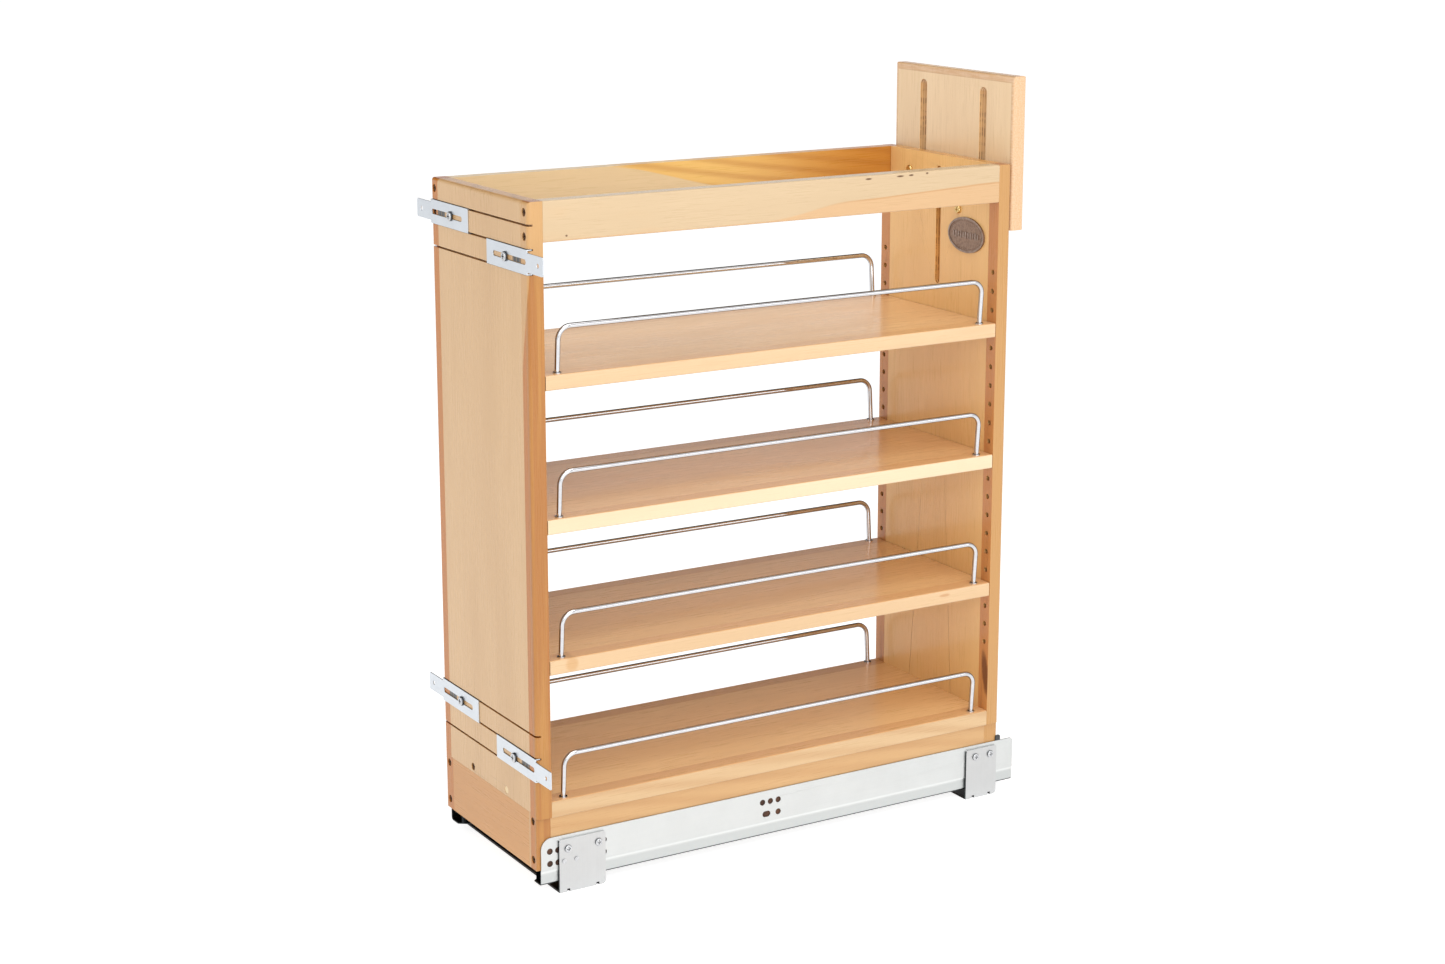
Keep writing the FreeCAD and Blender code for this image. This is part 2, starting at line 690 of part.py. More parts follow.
def door_bracket(level, side):
    """Slotted channel that straddles two kerfs, with a drilled tab beyond the board's edge."""
    z = door_bracket_centre(level, side)
    half_height = (KERF_PITCH + DOOR_STEEL) / 2
    face_y = (Y_FRONT - DOOR_STEEL, Y_FRONT)
    plate = block(DOOR_BODY, face_y, (z - half_height, z + half_height))
    tab_half = DOOR_TAB_HEIGHT / 2
    tab = block((DOOR_BODY[1] - 1, DOOR_TAB_END), face_y, (z - tab_half, z + tab_half))
    channel = plate.fuse(tab)
    for sign in (-1, 1):
        z_span = sorted((z + sign * half_height, z + sign * (half_height - DOOR_STEEL)))
        flange_y = (Y_FRONT, Y_FRONT + DOOR_FLANGE)
        channel = channel.fuse(block(DOOR_BODY, flange_y, z_span))
    channel = rounded(channel.removeSplitter(), DOOR_TAB_ROUND, lambda bounds: (
        runs_along("y", bounds) and bounds.XMin > DOOR_TAB_END - TINY))
    cut_y = (Y_FRONT - 2, Y_FRONT + 2)
    slot_x = (DOOR_SLOT[0] + DOOR_SLOT_R, DOOR_SLOT[1] - DOOR_SLOT_R)
    channel = channel.cut(slot_cutter(slot_x, (z, z), DOOR_SLOT_R, cut_y))
    channel = channel.cut(rod(vec(DOOR_HOLE_X, cut_y[0], z), Y_AXIS, DOOR_HOLE_R, 4))
    return sided(channel, side)


def door_clamp_screws():
    """One screw through each door bracket slot into the front board."""
    screws = []
    for x in (-DOOR_SCREW_X, DOOR_SCREW_X):
        for z in door_screw_heights(x):
            seat = vec(x, Y_FRONT - DOOR_STEEL - DOOR_HEAD_GAP, z)
            screws.append(pan_screw(seat, Y_AXIS * -1, DOOR_SCREW, DOOR_PILOT_DEPTH))
    return screws


# ---- slides ----------------------------------------------------------------------------------
def web_holes():
    """(depth, z) of the round holes in the web of the cabinet profile."""
    upper_z, lower_z = MIDDLE_HOLES_Z
    front = [(distance, z) for distance in FRONT_HOLE_DEPTHS for z in FRONT_HOLES_Z]
    middle = [(MIDDLE_HOLE_DEPTH + step * MIDDLE_HOLE_PITCH, upper_z) for step in (-1, 0, 1)]
    return front + middle + [(MIDDLE_HOLE_DEPTH + MIDDLE_HOLE_PITCH, lower_z)]


def channel_walls(x_in, x_out, y_span, wall_z, hook_z):
    """Two upright walls of a slide channel and the hooks that turn in from their free edges."""
    walls = [block((x_in, x_in + STEEL), y_span, wall_z),
             block((x_in, x_in + HOOK_LENGTH), y_span, hook_z),
             block((x_out - STEEL, x_out), y_span, wall_z),
             block((x_out - HOOK_LENGTH, x_out), y_span, hook_z)]
    return Part.makeCompound(walls)


def flange_cutter(top_z):
    """Cuts the channel back from the front, with a slanting edge out to the tip of the flange."""
    before = depth(CABINET_PROFILE_START) - 1
    inside = CHANNEL_IN_X - 1
    outline = [(FLANGE_TIP_X, before), (FLANGE_TIP_X, before + 1),
               (FLANGE_CUT_X, depth(CHANNEL_START)), (inside, depth(CHANNEL_START)),
               (inside, before)]
    floor_z = PROFILE_BOTTOM_Z - 1
    return prism([vec(x, y, floor_z) for x, y in outline], Z_AXIS, top_z + 1 - floor_z)


def cabinet_profile():
    """Fixed member: an upright web outside the skirt, a floor and a channel for the rollers."""
    top = PROFILE_BOTTOM_Z + STEEL
    hook_z = INTERMEDIATE_Z[0] + STEEL + HOOK_GAP
    low_out = WEB_OUT_X - WEB_JOG
    web_in = WEB_OUT_X - STEEL
    y_start = depth(CABINET_PROFILE_START)
    length = CABINET_PROFILE_END - CABINET_PROFILE_START
    outline = [(low_out, PROFILE_BOTTOM_Z), (low_out, WEB_JOG_Z), (WEB_OUT_X, WEB_JOG_Z + 2),
               (WEB_OUT_X, WEB_TOP_Z), (web_in, WEB_TOP_Z), (web_in, WEB_JOG_Z + 2),
               (web_in - WEB_JOG, WEB_JOG_Z), (web_in - WEB_JOG, top), (CHANNEL_IN_X, top),
               (CHANNEL_IN_X, PROFILE_BOTTOM_Z)]
    profile = prism([vec(x, y_start, z) for x, z in outline], Y_AXIS, length)
    y_end = y_start + length
    hook_span = (hook_z, hook_z + STEEL)
    profile = profile.fuse(channel_walls(CHANNEL_IN_X, CHANNEL_OUT_X, (y_start, y_end),
                                         (PROFILE_BOTTOM_Z, hook_span[1]), hook_span))
    profile = profile.cut(flange_cutter(hook_span[1])).removeSplitter()
    for radius, x, z in ((BEND_ROUND, low_out, PROFILE_BOTTOM_Z),
                         (BEND_ROUND - STEEL, low_out - STEEL, top)):
        profile = rounded(profile, radius, lambda bounds: (
            runs_along("y", bounds) and abs(bounds.XMin - x) < TINY
            and abs(bounds.ZMin - z) < TINY))
    for radius, y in ((WEB_FRONT_ROUND, y_start), (WEB_REAR_ROUND, y_end)):
        profile = rounded(profile, radius, lambda bounds: (
            runs_along("x", bounds) and bounds.ZMin > WEB_TOP_Z - TINY
            and abs(bounds.YMin - y) < TINY))
    for distance, z in web_holes():
        start = vec(web_in - 1, depth(distance), z)
        profile = profile.cut(rod(start, X_AXIS, WEB_HOLE_R, STEEL + 2))
    long_hole = block((web_in - 1, WEB_OUT_X + 1),
                      (depth(MIDDLE_HOLE_DEPTH - MIDDLE_HOLE_PITCH), depth(MIDDLE_HOLE_DEPTH)),
                      (MIDDLE_HOLES_Z[1] - WEB_HOLE_R, MIDDLE_HOLES_Z[1] + WEB_HOLE_R))
    long_hole = rounded(long_hole, WEB_HOLE_R - TINY, lambda bounds: runs_along("x", bounds))
    return profile.cut(long_hole)


def intermediate_profile():
    """Middle member: an I-section that runs between the two others."""
    y_span = tuple(depth(distance) for distance in INTERMEDIATE_DEPTH)
    low, high = INTERMEDIATE_Z
    centre = sum(INTERMEDIATE_X) / 2
    lower = block(INTERMEDIATE_X, y_span, (low, low + STEEL))
    upper = block(INTERMEDIATE_X, y_span, (high - STEEL, high))
    web = block((centre - STEEL / 2, centre + STEEL / 2), y_span, (low, high))
    return lower.fuse(upper).fuse(web).removeSplitter()


def drawer_profile():
    """Upper member: an inverted channel screwed under the base panel."""
    y_span = tuple(depth(distance) for distance in DRAWER_PROFILE_DEPTH)
    top = BASE_PANEL_Z
    hook_top = INTERMEDIATE_Z[1] - STEEL - HOOK_GAP
    profile = block((CHANNEL_IN_X, CHANNEL_OUT_X), y_span, (top - STEEL, top))
    walls = channel_walls(CHANNEL_IN_X, CHANNEL_OUT_X, y_span, (hook_top - STEEL, top),
                          (hook_top - STEEL, hook_top))
    return profile.fuse(walls).removeSplitter()


def roller_carriage(start_depth, floor_z, roof_z):
    """Cage with a row of rollers between two members of a slide."""
    radius = (roof_z - floor_z) / 2 - ROLLER_GAP
    centre_z = (roof_z + floor_z) / 2
    y_start = depth(start_depth)
    cage = block(CAGE_X, (y_start, y_start + CAGE_LENGTH),
                 (centre_z - CAGE_THICK / 2, centre_z + CAGE_THICK / 2))
    pitch = CAGE_LENGTH / ROLLERS
    solids = []
    for index in range(ROLLERS):
        y = y_start + pitch * (index + 0.5)
        window = radius + ROLLER_GAP
        x_span = (ROLLER_X[0] - ROLLER_GAP, ROLLER_X[1] + ROLLER_GAP)
        cage = cage.cut(block(x_span, (y - window, y + window), (floor_z, roof_z)))
        start = vec(ROLLER_X[0], y, centre_z)
        solids.append(rod(start, X_AXIS, radius, ROLLER_X[1] - ROLLER_X[0]))
    return Part.makeCompound([cage] + solids)


def slide_nodes():
    lower = roller_carriage(LOWER_CAGE_DEPTH, PROFILE_BOTTOM_Z + STEEL, INTERMEDIATE_Z[0])
    upper = roller_carriage(UPPER_CAGE_DEPTH, INTERMEDIATE_Z[1], BASE_PANEL_Z - STEEL)
    members = {"cabinet_profile": cabinet_profile(),
               "intermediate_profile": intermediate_profile(),
               "drawer_profile": drawer_profile(),
               "lower_carriage": lower,
               "upper_carriage": upper}
    return {f"{name}_{side}": sided(shape, side)
            for name, shape in members.items() for side in ("left", "right")}


# ---- soft close, rear caps and front locks ---------------------------------------------------
def soft_close_unit():
    """Open trough on the profile floor with a latch block, piston rod and damper cylinder."""
    y_span = tuple(depth(distance) for distance in SOFT_CLOSE_DEPTH)
    floor_z = SOFT_CLOSE_Z[0] + SOFT_CLOSE_WALL
    end_y = y_span[1] - SOFT_CLOSE_WALL
    trough = block(SOFT_CLOSE_X, y_span, SOFT_CLOSE_Z)
    inner_x = (SOFT_CLOSE_X[0] + SOFT_CLOSE_WALL, SOFT_CLOSE_X[1] - SOFT_CLOSE_WALL)
    hollow = block(inner_x, (y_span[0] - 1, end_y), (floor_z, SOFT_CLOSE_Z[1] + 1))
    centre_x = sum(SOFT_CLOSE_X) / 2
    centre_z = floor_z + DAMPER_R + SOFT_CLOSE_LIFT
    damper_y = depth(DAMPER_DEPTH)
    latch_y = tuple(depth(distance) for distance in LATCH_DEPTH)
    damper = rod(vec(centre_x, damper_y, centre_z), Y_AXIS, DAMPER_R, end_y - damper_y)
    latch = block((centre_x - LATCH_HALF, centre_x + LATCH_HALF), latch_y,
                  (floor_z + SOFT_CLOSE_LIFT, SOFT_CLOSE_Z[1]))
    piston = rod(vec(centre_x, latch_y[1], centre_z), Y_AXIS, PISTON_R, damper_y - latch_y[1])
    return [trough.cut(hollow), damper.fuse(piston).fuse(latch).removeSplitter()]


def striker():
    """Peg under the skirt that the soft-close latch catches."""
    centre_x = sum(SOFT_CLOSE_X) / 2
    y_span = tuple(depth(distance) for distance in STRIKER_DEPTH)
    return block((centre_x - STRIKER_HALF, centre_x + STRIKER_HALF), y_span,
                 (STRIKER_BOTTOM_Z, WOOD_BOTTOM_Z))


def rear_cap():
    """Small moulded stop clipped on the rear of the web."""
    y_span = tuple(depth(distance) for distance in REAR_CAP_DEPTH)
    cap = block((WEB_OUT_X - STEEL, WEB_OUT_X), y_span, (WEB_TOP_Z, WEB_TOP_Z + REAR_CAP_HEIGHT))
    return rounded(cap, REAR_CAP_ROUND, lambda bounds: (
        runs_along("x", bounds) and bounds.ZMin > WEB_TOP_Z + TINY))


def locking_device():
    """Moulded clevis under the base panel whose pin carries the release lever."""
    y_span = tuple(depth(distance) for distance in LOCK_DEPTH)
    body = block(LOCK_X, y_span, LOCK_Z)
    gap_z = (LEVER_Z[0] - LEVER_GAP, LEVER_Z[1] + LEVER_GAP)
    mouth = block((LOCK_X[0] - 1, LOCK_X[1] + 1), (y_span[0] - 1, y_span[1] - LOCK_BACK_WALL), gap_z)
    pin = rod(vec(LOCK_PIVOT_X, depth(LOCK_PIVOT_DEPTH), LOCK_Z[0]), Z_AXIS, LOCK_PIN_R,
              LOCK_Z[1] - LOCK_Z[0])
    return body.cut(mouth).fuse(pin).removeSplitter()


def release_lever():
    """Lever on the lock's pin, with an arm that ends in a finger pad."""
    height = LEVER_Z[1] - LEVER_Z[0]
    centre = vec(LOCK_PIVOT_X, depth(LOCK_PIVOT_DEPTH), LEVER_Z[0])
    hub = rod(centre, Z_AXIS, LEVER_HUB_R, height)
    pad_y = tuple(depth(distance) for distance in LEVER_PAD_DEPTH)
    arm = prism([vec(LOCK_PIVOT_X - LEVER_ARM_HALF, centre.y, LEVER_Z[0]),
                 vec(LOCK_PIVOT_X + LEVER_ARM_HALF, centre.y, LEVER_Z[0]),
                 vec(LEVER_PAD_X[1], pad_y[1], LEVER_Z[0]),
                 vec(LEVER_PAD_X[1] - 2 * LEVER_ARM_HALF, pad_y[1], LEVER_Z[0])], Z_AXIS, height)
    pad = rounded(block(LEVER_PAD_X, pad_y, LEVER_Z), LEVER_PAD_ROUND,
                  lambda bounds: runs_along("z", bounds))
    lever = hub.fuse(arm).fuse(pad).removeSplitter()
    bore_r = LOCK_PIN_R + LEVER_BORE_CLEARANCE
    return lever.cut(rod(centre - Z_AXIS, Z_AXIS, bore_r, height + 2))


# ---- floor brackets --------------------------------------------------------------------------
def floor_bracket(depth_span):
    """Cross plate on the floor with an upright ear outside each slide web."""
    y_span = tuple(depth(distance) for distance in depth_span)
    outer = WEB_OUT_X + BRACKET_STEEL
    bracket = block((-WEB_OUT_X, WEB_OUT_X), y_span, (0, BRACKET_STEEL))
    for x_span in ((WEB_OUT_X, outer), (-outer, -WEB_OUT_X)):
        ear = block(x_span, y_span, (0, BRACKET_TOP_Z))
        ear = rounded(ear, EAR_ROUND, lambda bounds: (
            runs_along("x", bounds) and bounds.ZMin > BRACKET_TOP_Z - TINY))
        ear = rounded(ear, HEEL_ROUND, lambda bounds: (
            runs_along("x", bounds) and bounds.ZMax < TINY and bounds.YMin > y_span[1] - TINY))
        bracket = bracket.fuse(ear)
    bracket = bracket.removeSplitter()
    centre_y = sum(y_span) / 2
    reliefs = (y_span[0] + FRONT_RELIEF, y_span[1] - REAR_RELIEF)
    for sign in (-1, 1):
        x_span = sorted((sign * (WEB_OUT_X - 1), sign * (outer + 1)))
        for y in reliefs:
            bracket = bracket.cut(block(x_span, (y, y + RELIEF), (-1, RELIEF)))
        hole_start = vec(sign * FLOOR_HOLE_X, centre_y, -1)
        bracket = bracket.cut(rod(hole_start, Z_AXIS, FLOOR_HOLE_R, BRACKET_STEEL + 2))
    return bracket


def bracket_screws():
    """Pan-head screws that hold the webs to the ears, on both sides."""
    places = [(distance, FRONT_EAR_SCREW_Z) for distance in FRONT_EAR_SCREW_DEPTHS]
    places += [(distance, REAR_EAR_SCREW_Z) for distance in REAR_EAR_SCREW_DEPTHS]
    length = BRACKET_STEEL + STEEL - EAR_SCREW_SHORT
    screws = []
    for distance, z in places:
        seat = vec(WEB_OUT_X + BRACKET_STEEL, depth(distance), z)
        screws.append(pan_screw(seat, X_AXIS, EAR_SCREW, length))
    return both_sides(screws)


def bracket_rivets():
    """Two flush rivets per side below the front screws."""
    rivets = []
    for distance in RIVET_DEPTHS:
        start = vec(WEB_OUT_X + BRACKET_STEEL, depth(distance), RIVET_Z)
        rivets.append(rod(start, X_AXIS, RIVET_R, RIVET_HEIGHT))
    return both_sides(rivets)


def screw_holes_in_steel(shape):
    """Clear the shanks of the bracket screws."""
    for screw in bracket_screws():
        shape = shape.cut(screw)
    return shape


# ---- the whole assembly ----------------------------------------------------------------------
def carrier_nodes():
    nodes = {}
    nodes.update(front_board())
    nodes.update(rear_board())
    nodes.update(side_boards())
    nodes.update(bottom_shelf())
    for name in SHELF_HOLES:
        nodes.update(adjustable_shelf(name))
    nodes["shelf_support_wires"] = Part.makeCompound(support_wires())
    nodes["wood_screws"] = Part.makeCompound(wood_screws())
    nodes["brass_screws"] = Part.makeCompound(brass_screws())
    nodes["badge"] = badge()
    nodes["extension_panel"] = extension_panel()
    nodes["guide_bolt"] = Part.makeCompound(guide_bolt())
    for level in ("upper", "lower"):
        for side in ("left", "right"):
            nodes[f"door_bracket_{level}_{side}"] = door_bracket(level, side)
    nodes["door_clamp_screws"] = Part.makeCompound(door_clamp_screws())
    for side in ("left", "right"):
        nodes["locking_device_" + side] = sided(locking_device(), side)
        nodes["release_lever_" + side] = sided(release_lever(), side)
    nodes["soft_close_strikers"] = Part.makeCompound(both_sides([striker()]))
    return nodes


def fixed_nodes():
    nodes = slide_nodes()
    for side in ("left", "right"):
        name = "cabinet_profile_" + side
        nodes[name] = screw_holes_in_steel(nodes[name])
    nodes["front_floor_bracket"] = screw_holes_in_steel(floor_bracket(FRONT_BRACKET_DEPTH))
    nodes["rear_floor_bracket"] = screw_holes_in_steel(floor_bracket(REAR_BRACKET_DEPTH))
    nodes["bracket_screws"] = Part.makeCompound(bracket_screws())
    nodes["bracket_rivets"] = Part.makeCompound(bracket_rivets())
    nodes["soft_close_units"] = Part.makeCompound(both_sides(soft_close_unit()))
    nodes["rear_caps"] = Part.makeCompound(both_sides([rear_cap()]))
    return nodes


os.makedirs("parts", exist_ok=True)
for name, shape in {**carrier_nodes(), **fixed_nodes()}.items():
    shape.exportStep(os.path.join("parts", name + ".step"))
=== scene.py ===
"""Looks of the pull-out pantry organiser: studio, finishes and the fine detail around the frame."""

import math

import bmesh
import bpy
from mathutils import Matrix, Vector


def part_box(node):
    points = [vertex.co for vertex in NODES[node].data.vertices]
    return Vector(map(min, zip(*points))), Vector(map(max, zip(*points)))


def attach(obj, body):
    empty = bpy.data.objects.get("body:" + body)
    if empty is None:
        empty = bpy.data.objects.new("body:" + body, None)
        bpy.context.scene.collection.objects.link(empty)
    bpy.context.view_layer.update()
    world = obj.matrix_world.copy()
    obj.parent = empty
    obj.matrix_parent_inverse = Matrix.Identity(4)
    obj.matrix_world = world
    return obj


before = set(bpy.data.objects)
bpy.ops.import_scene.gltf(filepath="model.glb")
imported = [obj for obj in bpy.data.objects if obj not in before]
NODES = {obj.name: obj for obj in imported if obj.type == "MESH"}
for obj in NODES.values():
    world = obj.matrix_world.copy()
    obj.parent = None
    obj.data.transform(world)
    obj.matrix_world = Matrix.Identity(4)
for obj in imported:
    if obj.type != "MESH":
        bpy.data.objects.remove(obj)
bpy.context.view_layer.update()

MM = 0.001
Y = Vector((0, 1, 0))
SIDES = (("left", -1), ("right", 1))

# ---- landmarks read from the frame -----------------------------------------------------------
FRONT_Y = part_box("front_panel")[0].y
REAR_INNER_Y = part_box("rear_panel")[0].y
REAR_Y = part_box("rear_panel")[1].y
HALF_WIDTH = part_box("front_stile_right")[1].x
CORE_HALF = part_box("front_panel")[1].x
TOP_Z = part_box("front_panel")[1].z

# ---- camera and studio -----------------------------------------------------------------------
CAMERA_PLACE = Vector((2.100, -1.274, 0.961))
CAMERA_AZIMUTH = 59.12
CAMERA_ELEVATION = 12.85
CAMERA_LENS = 63.8
CAMERA_SHIFT_Y = -0.04
FLOOR_HALF = 30.0
FLOOR_DROP = 0.05 * MM
FLOOR_GLOW = 0.84
SKY_STRENGTH = 0.90


# ---- shader graph helper ---------------------------------------------------------------------
class Finish:
    """A new material with short calls that add and link its nodes."""

    def __init__(self, name):
        self.material = bpy.data.materials.new(name)
        self.material.use_nodes = True
        self.tree = self.material.node_tree
        self.tree.nodes.clear()
        self.place = self.add("ShaderNodeTexCoord").outputs["Object"]
        self.normal = self.tree.nodes[-1].outputs["Normal"]

    def add(self, kind, inputs=None, **settings):
        node = self.tree.nodes.new(kind)
        for key, value in settings.items():
            setattr(node, key, value)
        for key, value in (inputs or {}).items():
            if isinstance(value, bpy.types.NodeSocket):
                self.tree.links.new(value, node.inputs[key])
            else:
                node.inputs[key].default_value = value
        return node

    def math(self, operation, first, second=0.0, clamp=False):
        node = self.add("ShaderNodeMath", {0: first, 1: second}, operation=operation)
        node.use_clamp = clamp
        return node.outputs[0]

    def smooth(self, value, low, high, start=0.0, end=1.0):
        """Smooth step of value between low and high."""
        inputs = {"Value": value, "From Min": low, "From Max": high, "To Min": start, "To Max": end}
        node = self.add("ShaderNodeMapRange", inputs, interpolation_type="SMOOTHSTEP")
        return node.outputs[0]

    def mix(self, factor, first, second, blend="MIX"):
        """Blend of two colours, each a socket or an (r, g, b)."""
        node = self.add("ShaderNodeMix", data_type="RGBA", blend_type=blend)
        for key, value in ((0, factor), (6, first), (7, second)):
            if isinstance(value, bpy.types.NodeSocket):
                self.tree.links.new(value, node.inputs[key])
            else:
                node.inputs[key].default_value = (*value, 1.0) if key else value
        return node.outputs[2]

    def scaled(self, scale, offset=(0, 0, 0), source=None):
        """Object place stretched by a scale for each axis."""
        inputs = {0: source or self.place, 1: scale, 2: offset}
        return self.add("ShaderNodeVectorMath", inputs, operation="MULTIPLY_ADD").outputs[0]

    def noise(self, vector, detail=2.0, roughness=0.5, distortion=0.0):
        inputs = {"Vector": vector, "Scale": 1.0, "Detail": detail, "Roughness": roughness,
                  "Distortion": distortion}
        return self.add("ShaderNodeTexNoise", inputs).outputs[0]

    def axes(self, socket=None):
        return self.add("ShaderNodeSeparateXYZ", {0: socket or self.place}).outputs

    def bump(self, height, strength, distance, below=None):
        inputs = {"Height": height, "Strength": strength, "Distance": distance}
        if below is not None:
            inputs["Normal"] = below
        return self.add("ShaderNodeBump", inputs).outputs[0]

    def surface(self, **inputs):
        """Close the graph with a Principled shader; keys use _ for a space."""
        named = {key.replace("_", " "): value for key, value in inputs.items()}
        for key in ("Base Color", "Emission Color", "Specular Tint"):
            if key in named and not isinstance(named[key], bpy.types.NodeSocket):
                named[key] = (*named[key], 1.0)
        shader = self.add("ShaderNodeBsdfPrincipled", named)
        output = self.add("ShaderNodeOutputMaterial")
        self.tree.links.new(shader.outputs[0], output.inputs[0])
        return self.material


# ---- wood ------------------------------------------------------------------------------------
def stretched(grain, across, along):
    """Noise scales, in cycles a metre, for a grain that runs along x, y or z."""
    return tuple(along if axis == grain else across for axis in "xyz")


def times(colour, gains):
    """Colour with each channel multiplied by its own gain."""
    return tuple(channel * gain for channel, gain in zip(colour, gains))


def wood(name, colour, grain, seed, spread=0.05, plies=None, marks=None):
    """Lacquered light wood; marks adds what is peculiar to one board, plies shows cut veneers."""
    f = Finish(name)
    where = (seed * 3.7, seed * 1.9, seed * 2.3)
    light = times(colour, (1 + spread, 1 + spread * 1.1, 1 + spread * 1.2))
    dark = times(colour, (1 - spread, 1 - spread * 1.5, 1 - spread * 2.2))

    tone = f.noise(f.scaled(stretched(grain, 9, 1.2), where), 2.0, 0.5, 0.5)
    streak = f.noise(f.scaled(stretched(grain, 75, 1.7), where), 1.0, 0.5, 0.2)
    mottle = f.noise(f.scaled(stretched(grain, 46, 13), where), 2.0, 0.6, 0.6)
    fibre = f.noise(f.scaled(stretched(grain, 1300, 28), where), 3.0, 0.6)
    fleck = f.smooth(f.noise(f.scaled(stretched(grain, 1000, 95), where), 1.0, 0.4), 0.72, 0.80)

    shade = f.smooth(tone, 0.35, 0.65)
    shade = f.math("ADD", f.math("MULTIPLY", shade, 0.7), f.smooth(streak, 0.3, 0.7, 0.0, 0.3))
    tint = f.mix(shade, light, dark)
    tint = f.mix(f.smooth(mottle, 0.5, 0.75, 0.0, 0.4), tint, dark)
    if marks:
        tint = marks(f, tint)
    grey = f.smooth(fibre, 0.30, 0.70, 0.985, 1.015)
    fine = f.add("ShaderNodeCombineColor", {0: grey, 1: grey, 2: grey}).outputs[0]
    tint = f.mix(1.0, tint, fine, "MULTIPLY")
    brown = times(colour, (0.62, 0.48, 0.34))
    tint = f.mix(f.math("MULTIPLY", fleck, 0.12), tint, brown)

    along_normal = f.math("ABSOLUTE", f.axes(f.normal)["xyz".index(grain)])
    end = f.smooth(along_normal, 0.75, 0.9, 0.0, END_GRAIN)
    speckle = f.smooth(f.noise(f.scaled((900, 900, 900), where), 2.0, 0.7), 0.35, 0.7)
    tint = f.mix(end, tint, f.mix(speckle, times(brown, (1.3, 1.25, 1.2)), times(brown, (0.8, 0.7, 0.6))))
    if plies:
        tint = ply_edges(f, tint, colour, plies)

    rough = f.smooth(f.math("ADD", fibre, f.math("MULTIPLY", mottle, 0.5)), 0.4, 1.1, 0.24, 0.36)
    height = f.math("SUBTRACT", f.math("MULTIPLY", fibre, 0.5), fleck)
    waves = f.noise(f.scaled(stretched(grain, 30, 9), where), 1.0, 0.4)
    relief = f.bump(waves, 0.10, 0.4 * MM, f.bump(height, 0.12, 0.05 * MM))
    return f.surface(Base_Color=tint, Roughness=rough, Normal=relief, Specular_IOR_Level=0.38,
                     Coat_Weight=0.2, Coat_Roughness=0.10, Coat_IOR=1.5)


def ply_edges(f, tint, colour, plies):
    """Stripes of crossed veneers on faces cut through a panel."""
    start, limit = plies
    x, y, _ = f.axes()
    facing = f.math("ABSOLUTE", f.axes(f.normal)[1])
    layer = f.math("DIVIDE", f.math("SUBTRACT", y, start), VENEER)
    dark = f.smooth(f.math("PINGPONG", layer, 1.0), 0.35, 0.65)
    cut = f.smooth(facing, 0.6, 0.4)
    if limit:
        cut = f.math("MULTIPLY", cut, f.smooth(f.math("ABSOLUTE", x), limit, limit - MM))
    broken = f.smooth(f.noise(f.scaled((60, 60, 160)), 2.0, 0.6), 0.45, 0.60)
    crossed = f.mix(broken, times(colour, (0.80, 0.58, 0.34)), times(colour, (0.42, 0.26, 0.13)))
    stripes = f.mix(dark, times(colour, (1.0, 0.90, 0.72)), crossed)
    return f.mix(f.math("MULTIPLY", cut, 0.9), tint, stripes)


def growth_lines(f, grain, seed, pitch, lean=0.0):
    """Wavy year rings cut lengthwise, about one each pitch across the grain, between 0 and 1."""
    along = dict(zip("xyz", f.axes()))[grain]
    drift = f.noise(f.scaled(stretched(grain, 6, 1.8), (seed, seed * 2, seed * 3)), 1.0, 0.4)
    across = f.math("ADD", f.axes()[2], f.math("MULTIPLY", along, lean))
    turns = f.math("ADD", f.math("DIVIDE", across, pitch), f.math("MULTIPLY", drift, 6.0))
    return f.smooth(f.math("PINGPONG", turns, 1.0), 0.25, 0.95)


def knot(f, tint, places, centre, radii, dark, amount):
    """Oval mark on a face: places and radii are along its two axes, with a darker heart."""
    offsets = []
    for place, middle, radius in zip(places, centre, radii):
        offset = f.math("DIVIDE", f.math("SUBTRACT", place, middle), radius)
        offsets.append(f.math("MULTIPLY", offset, offset))
    ragged = f.noise(f.scaled((260, 260, 260)), 2.0, 0.6)
    reach = f.math("ADD", f.math("ADD", *offsets), f.math("MULTIPLY", ragged, 0.5))
    return f.mix(f.smooth(reach, 1.5, 0.5, 0.0, amount), tint, dark)


def lipping(f, tint):
    """Solid lipping round the extension panel, with a fine glue line."""
    x, _, z = f.axes()
    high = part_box("extension_panel")[1]
    from_side = f.math("DIVIDE", f.math("SUBTRACT", high.x, f.math("ABSOLUTE", x)), LIP_SIDE)
    from_top = f.math("DIVIDE", f.math("SUBTRACT", high.z, z), LIP_TOP)
    share = f.math("MINIMUM", from_side, from_top)
    streak = f.noise(f.scaled((60, 700, 700)), 2.0, 0.5)
    lip = f.mix(f.smooth(streak, 0.3, 0.7), LIP_LIGHT, LIP_DARK)
    tint = f.mix(f.smooth(share, 1.05, 0.95), tint, lip)
    glue = f.smooth(f.math("ABSOLUTE", f.math("SUBTRACT", share, 1.0)), 0.10, 0.02, 0.0, 0.3)
    return f.mix(glue, tint, GLUE_BROWN)


# ---- metals and plastics ---------------------------------------------------------------------
def chrome(name):
    f = Finish(name)
    haze = f.noise(f.scaled((300, 60, 300)), 3.0, 0.6)
    scuff = f.smooth(haze, 0.35, 0.7, 0.02, 0.05)
    wave = f.bump(f.noise(f.scaled((55, 16, 55)), 1.0, 0.4), 0.03, 0.2 * MM)
    tint = f.mix(f.smooth(haze, 0.3, 0.8), (0.62, 0.62, 0.63), (0.56, 0.56, 0.58))
    return f.surface(Base_Color=tint, Metallic=1.0, Roughness=scuff, Normal=wave,
                     Specular_Tint=(0.10, 0.10, 0.11))


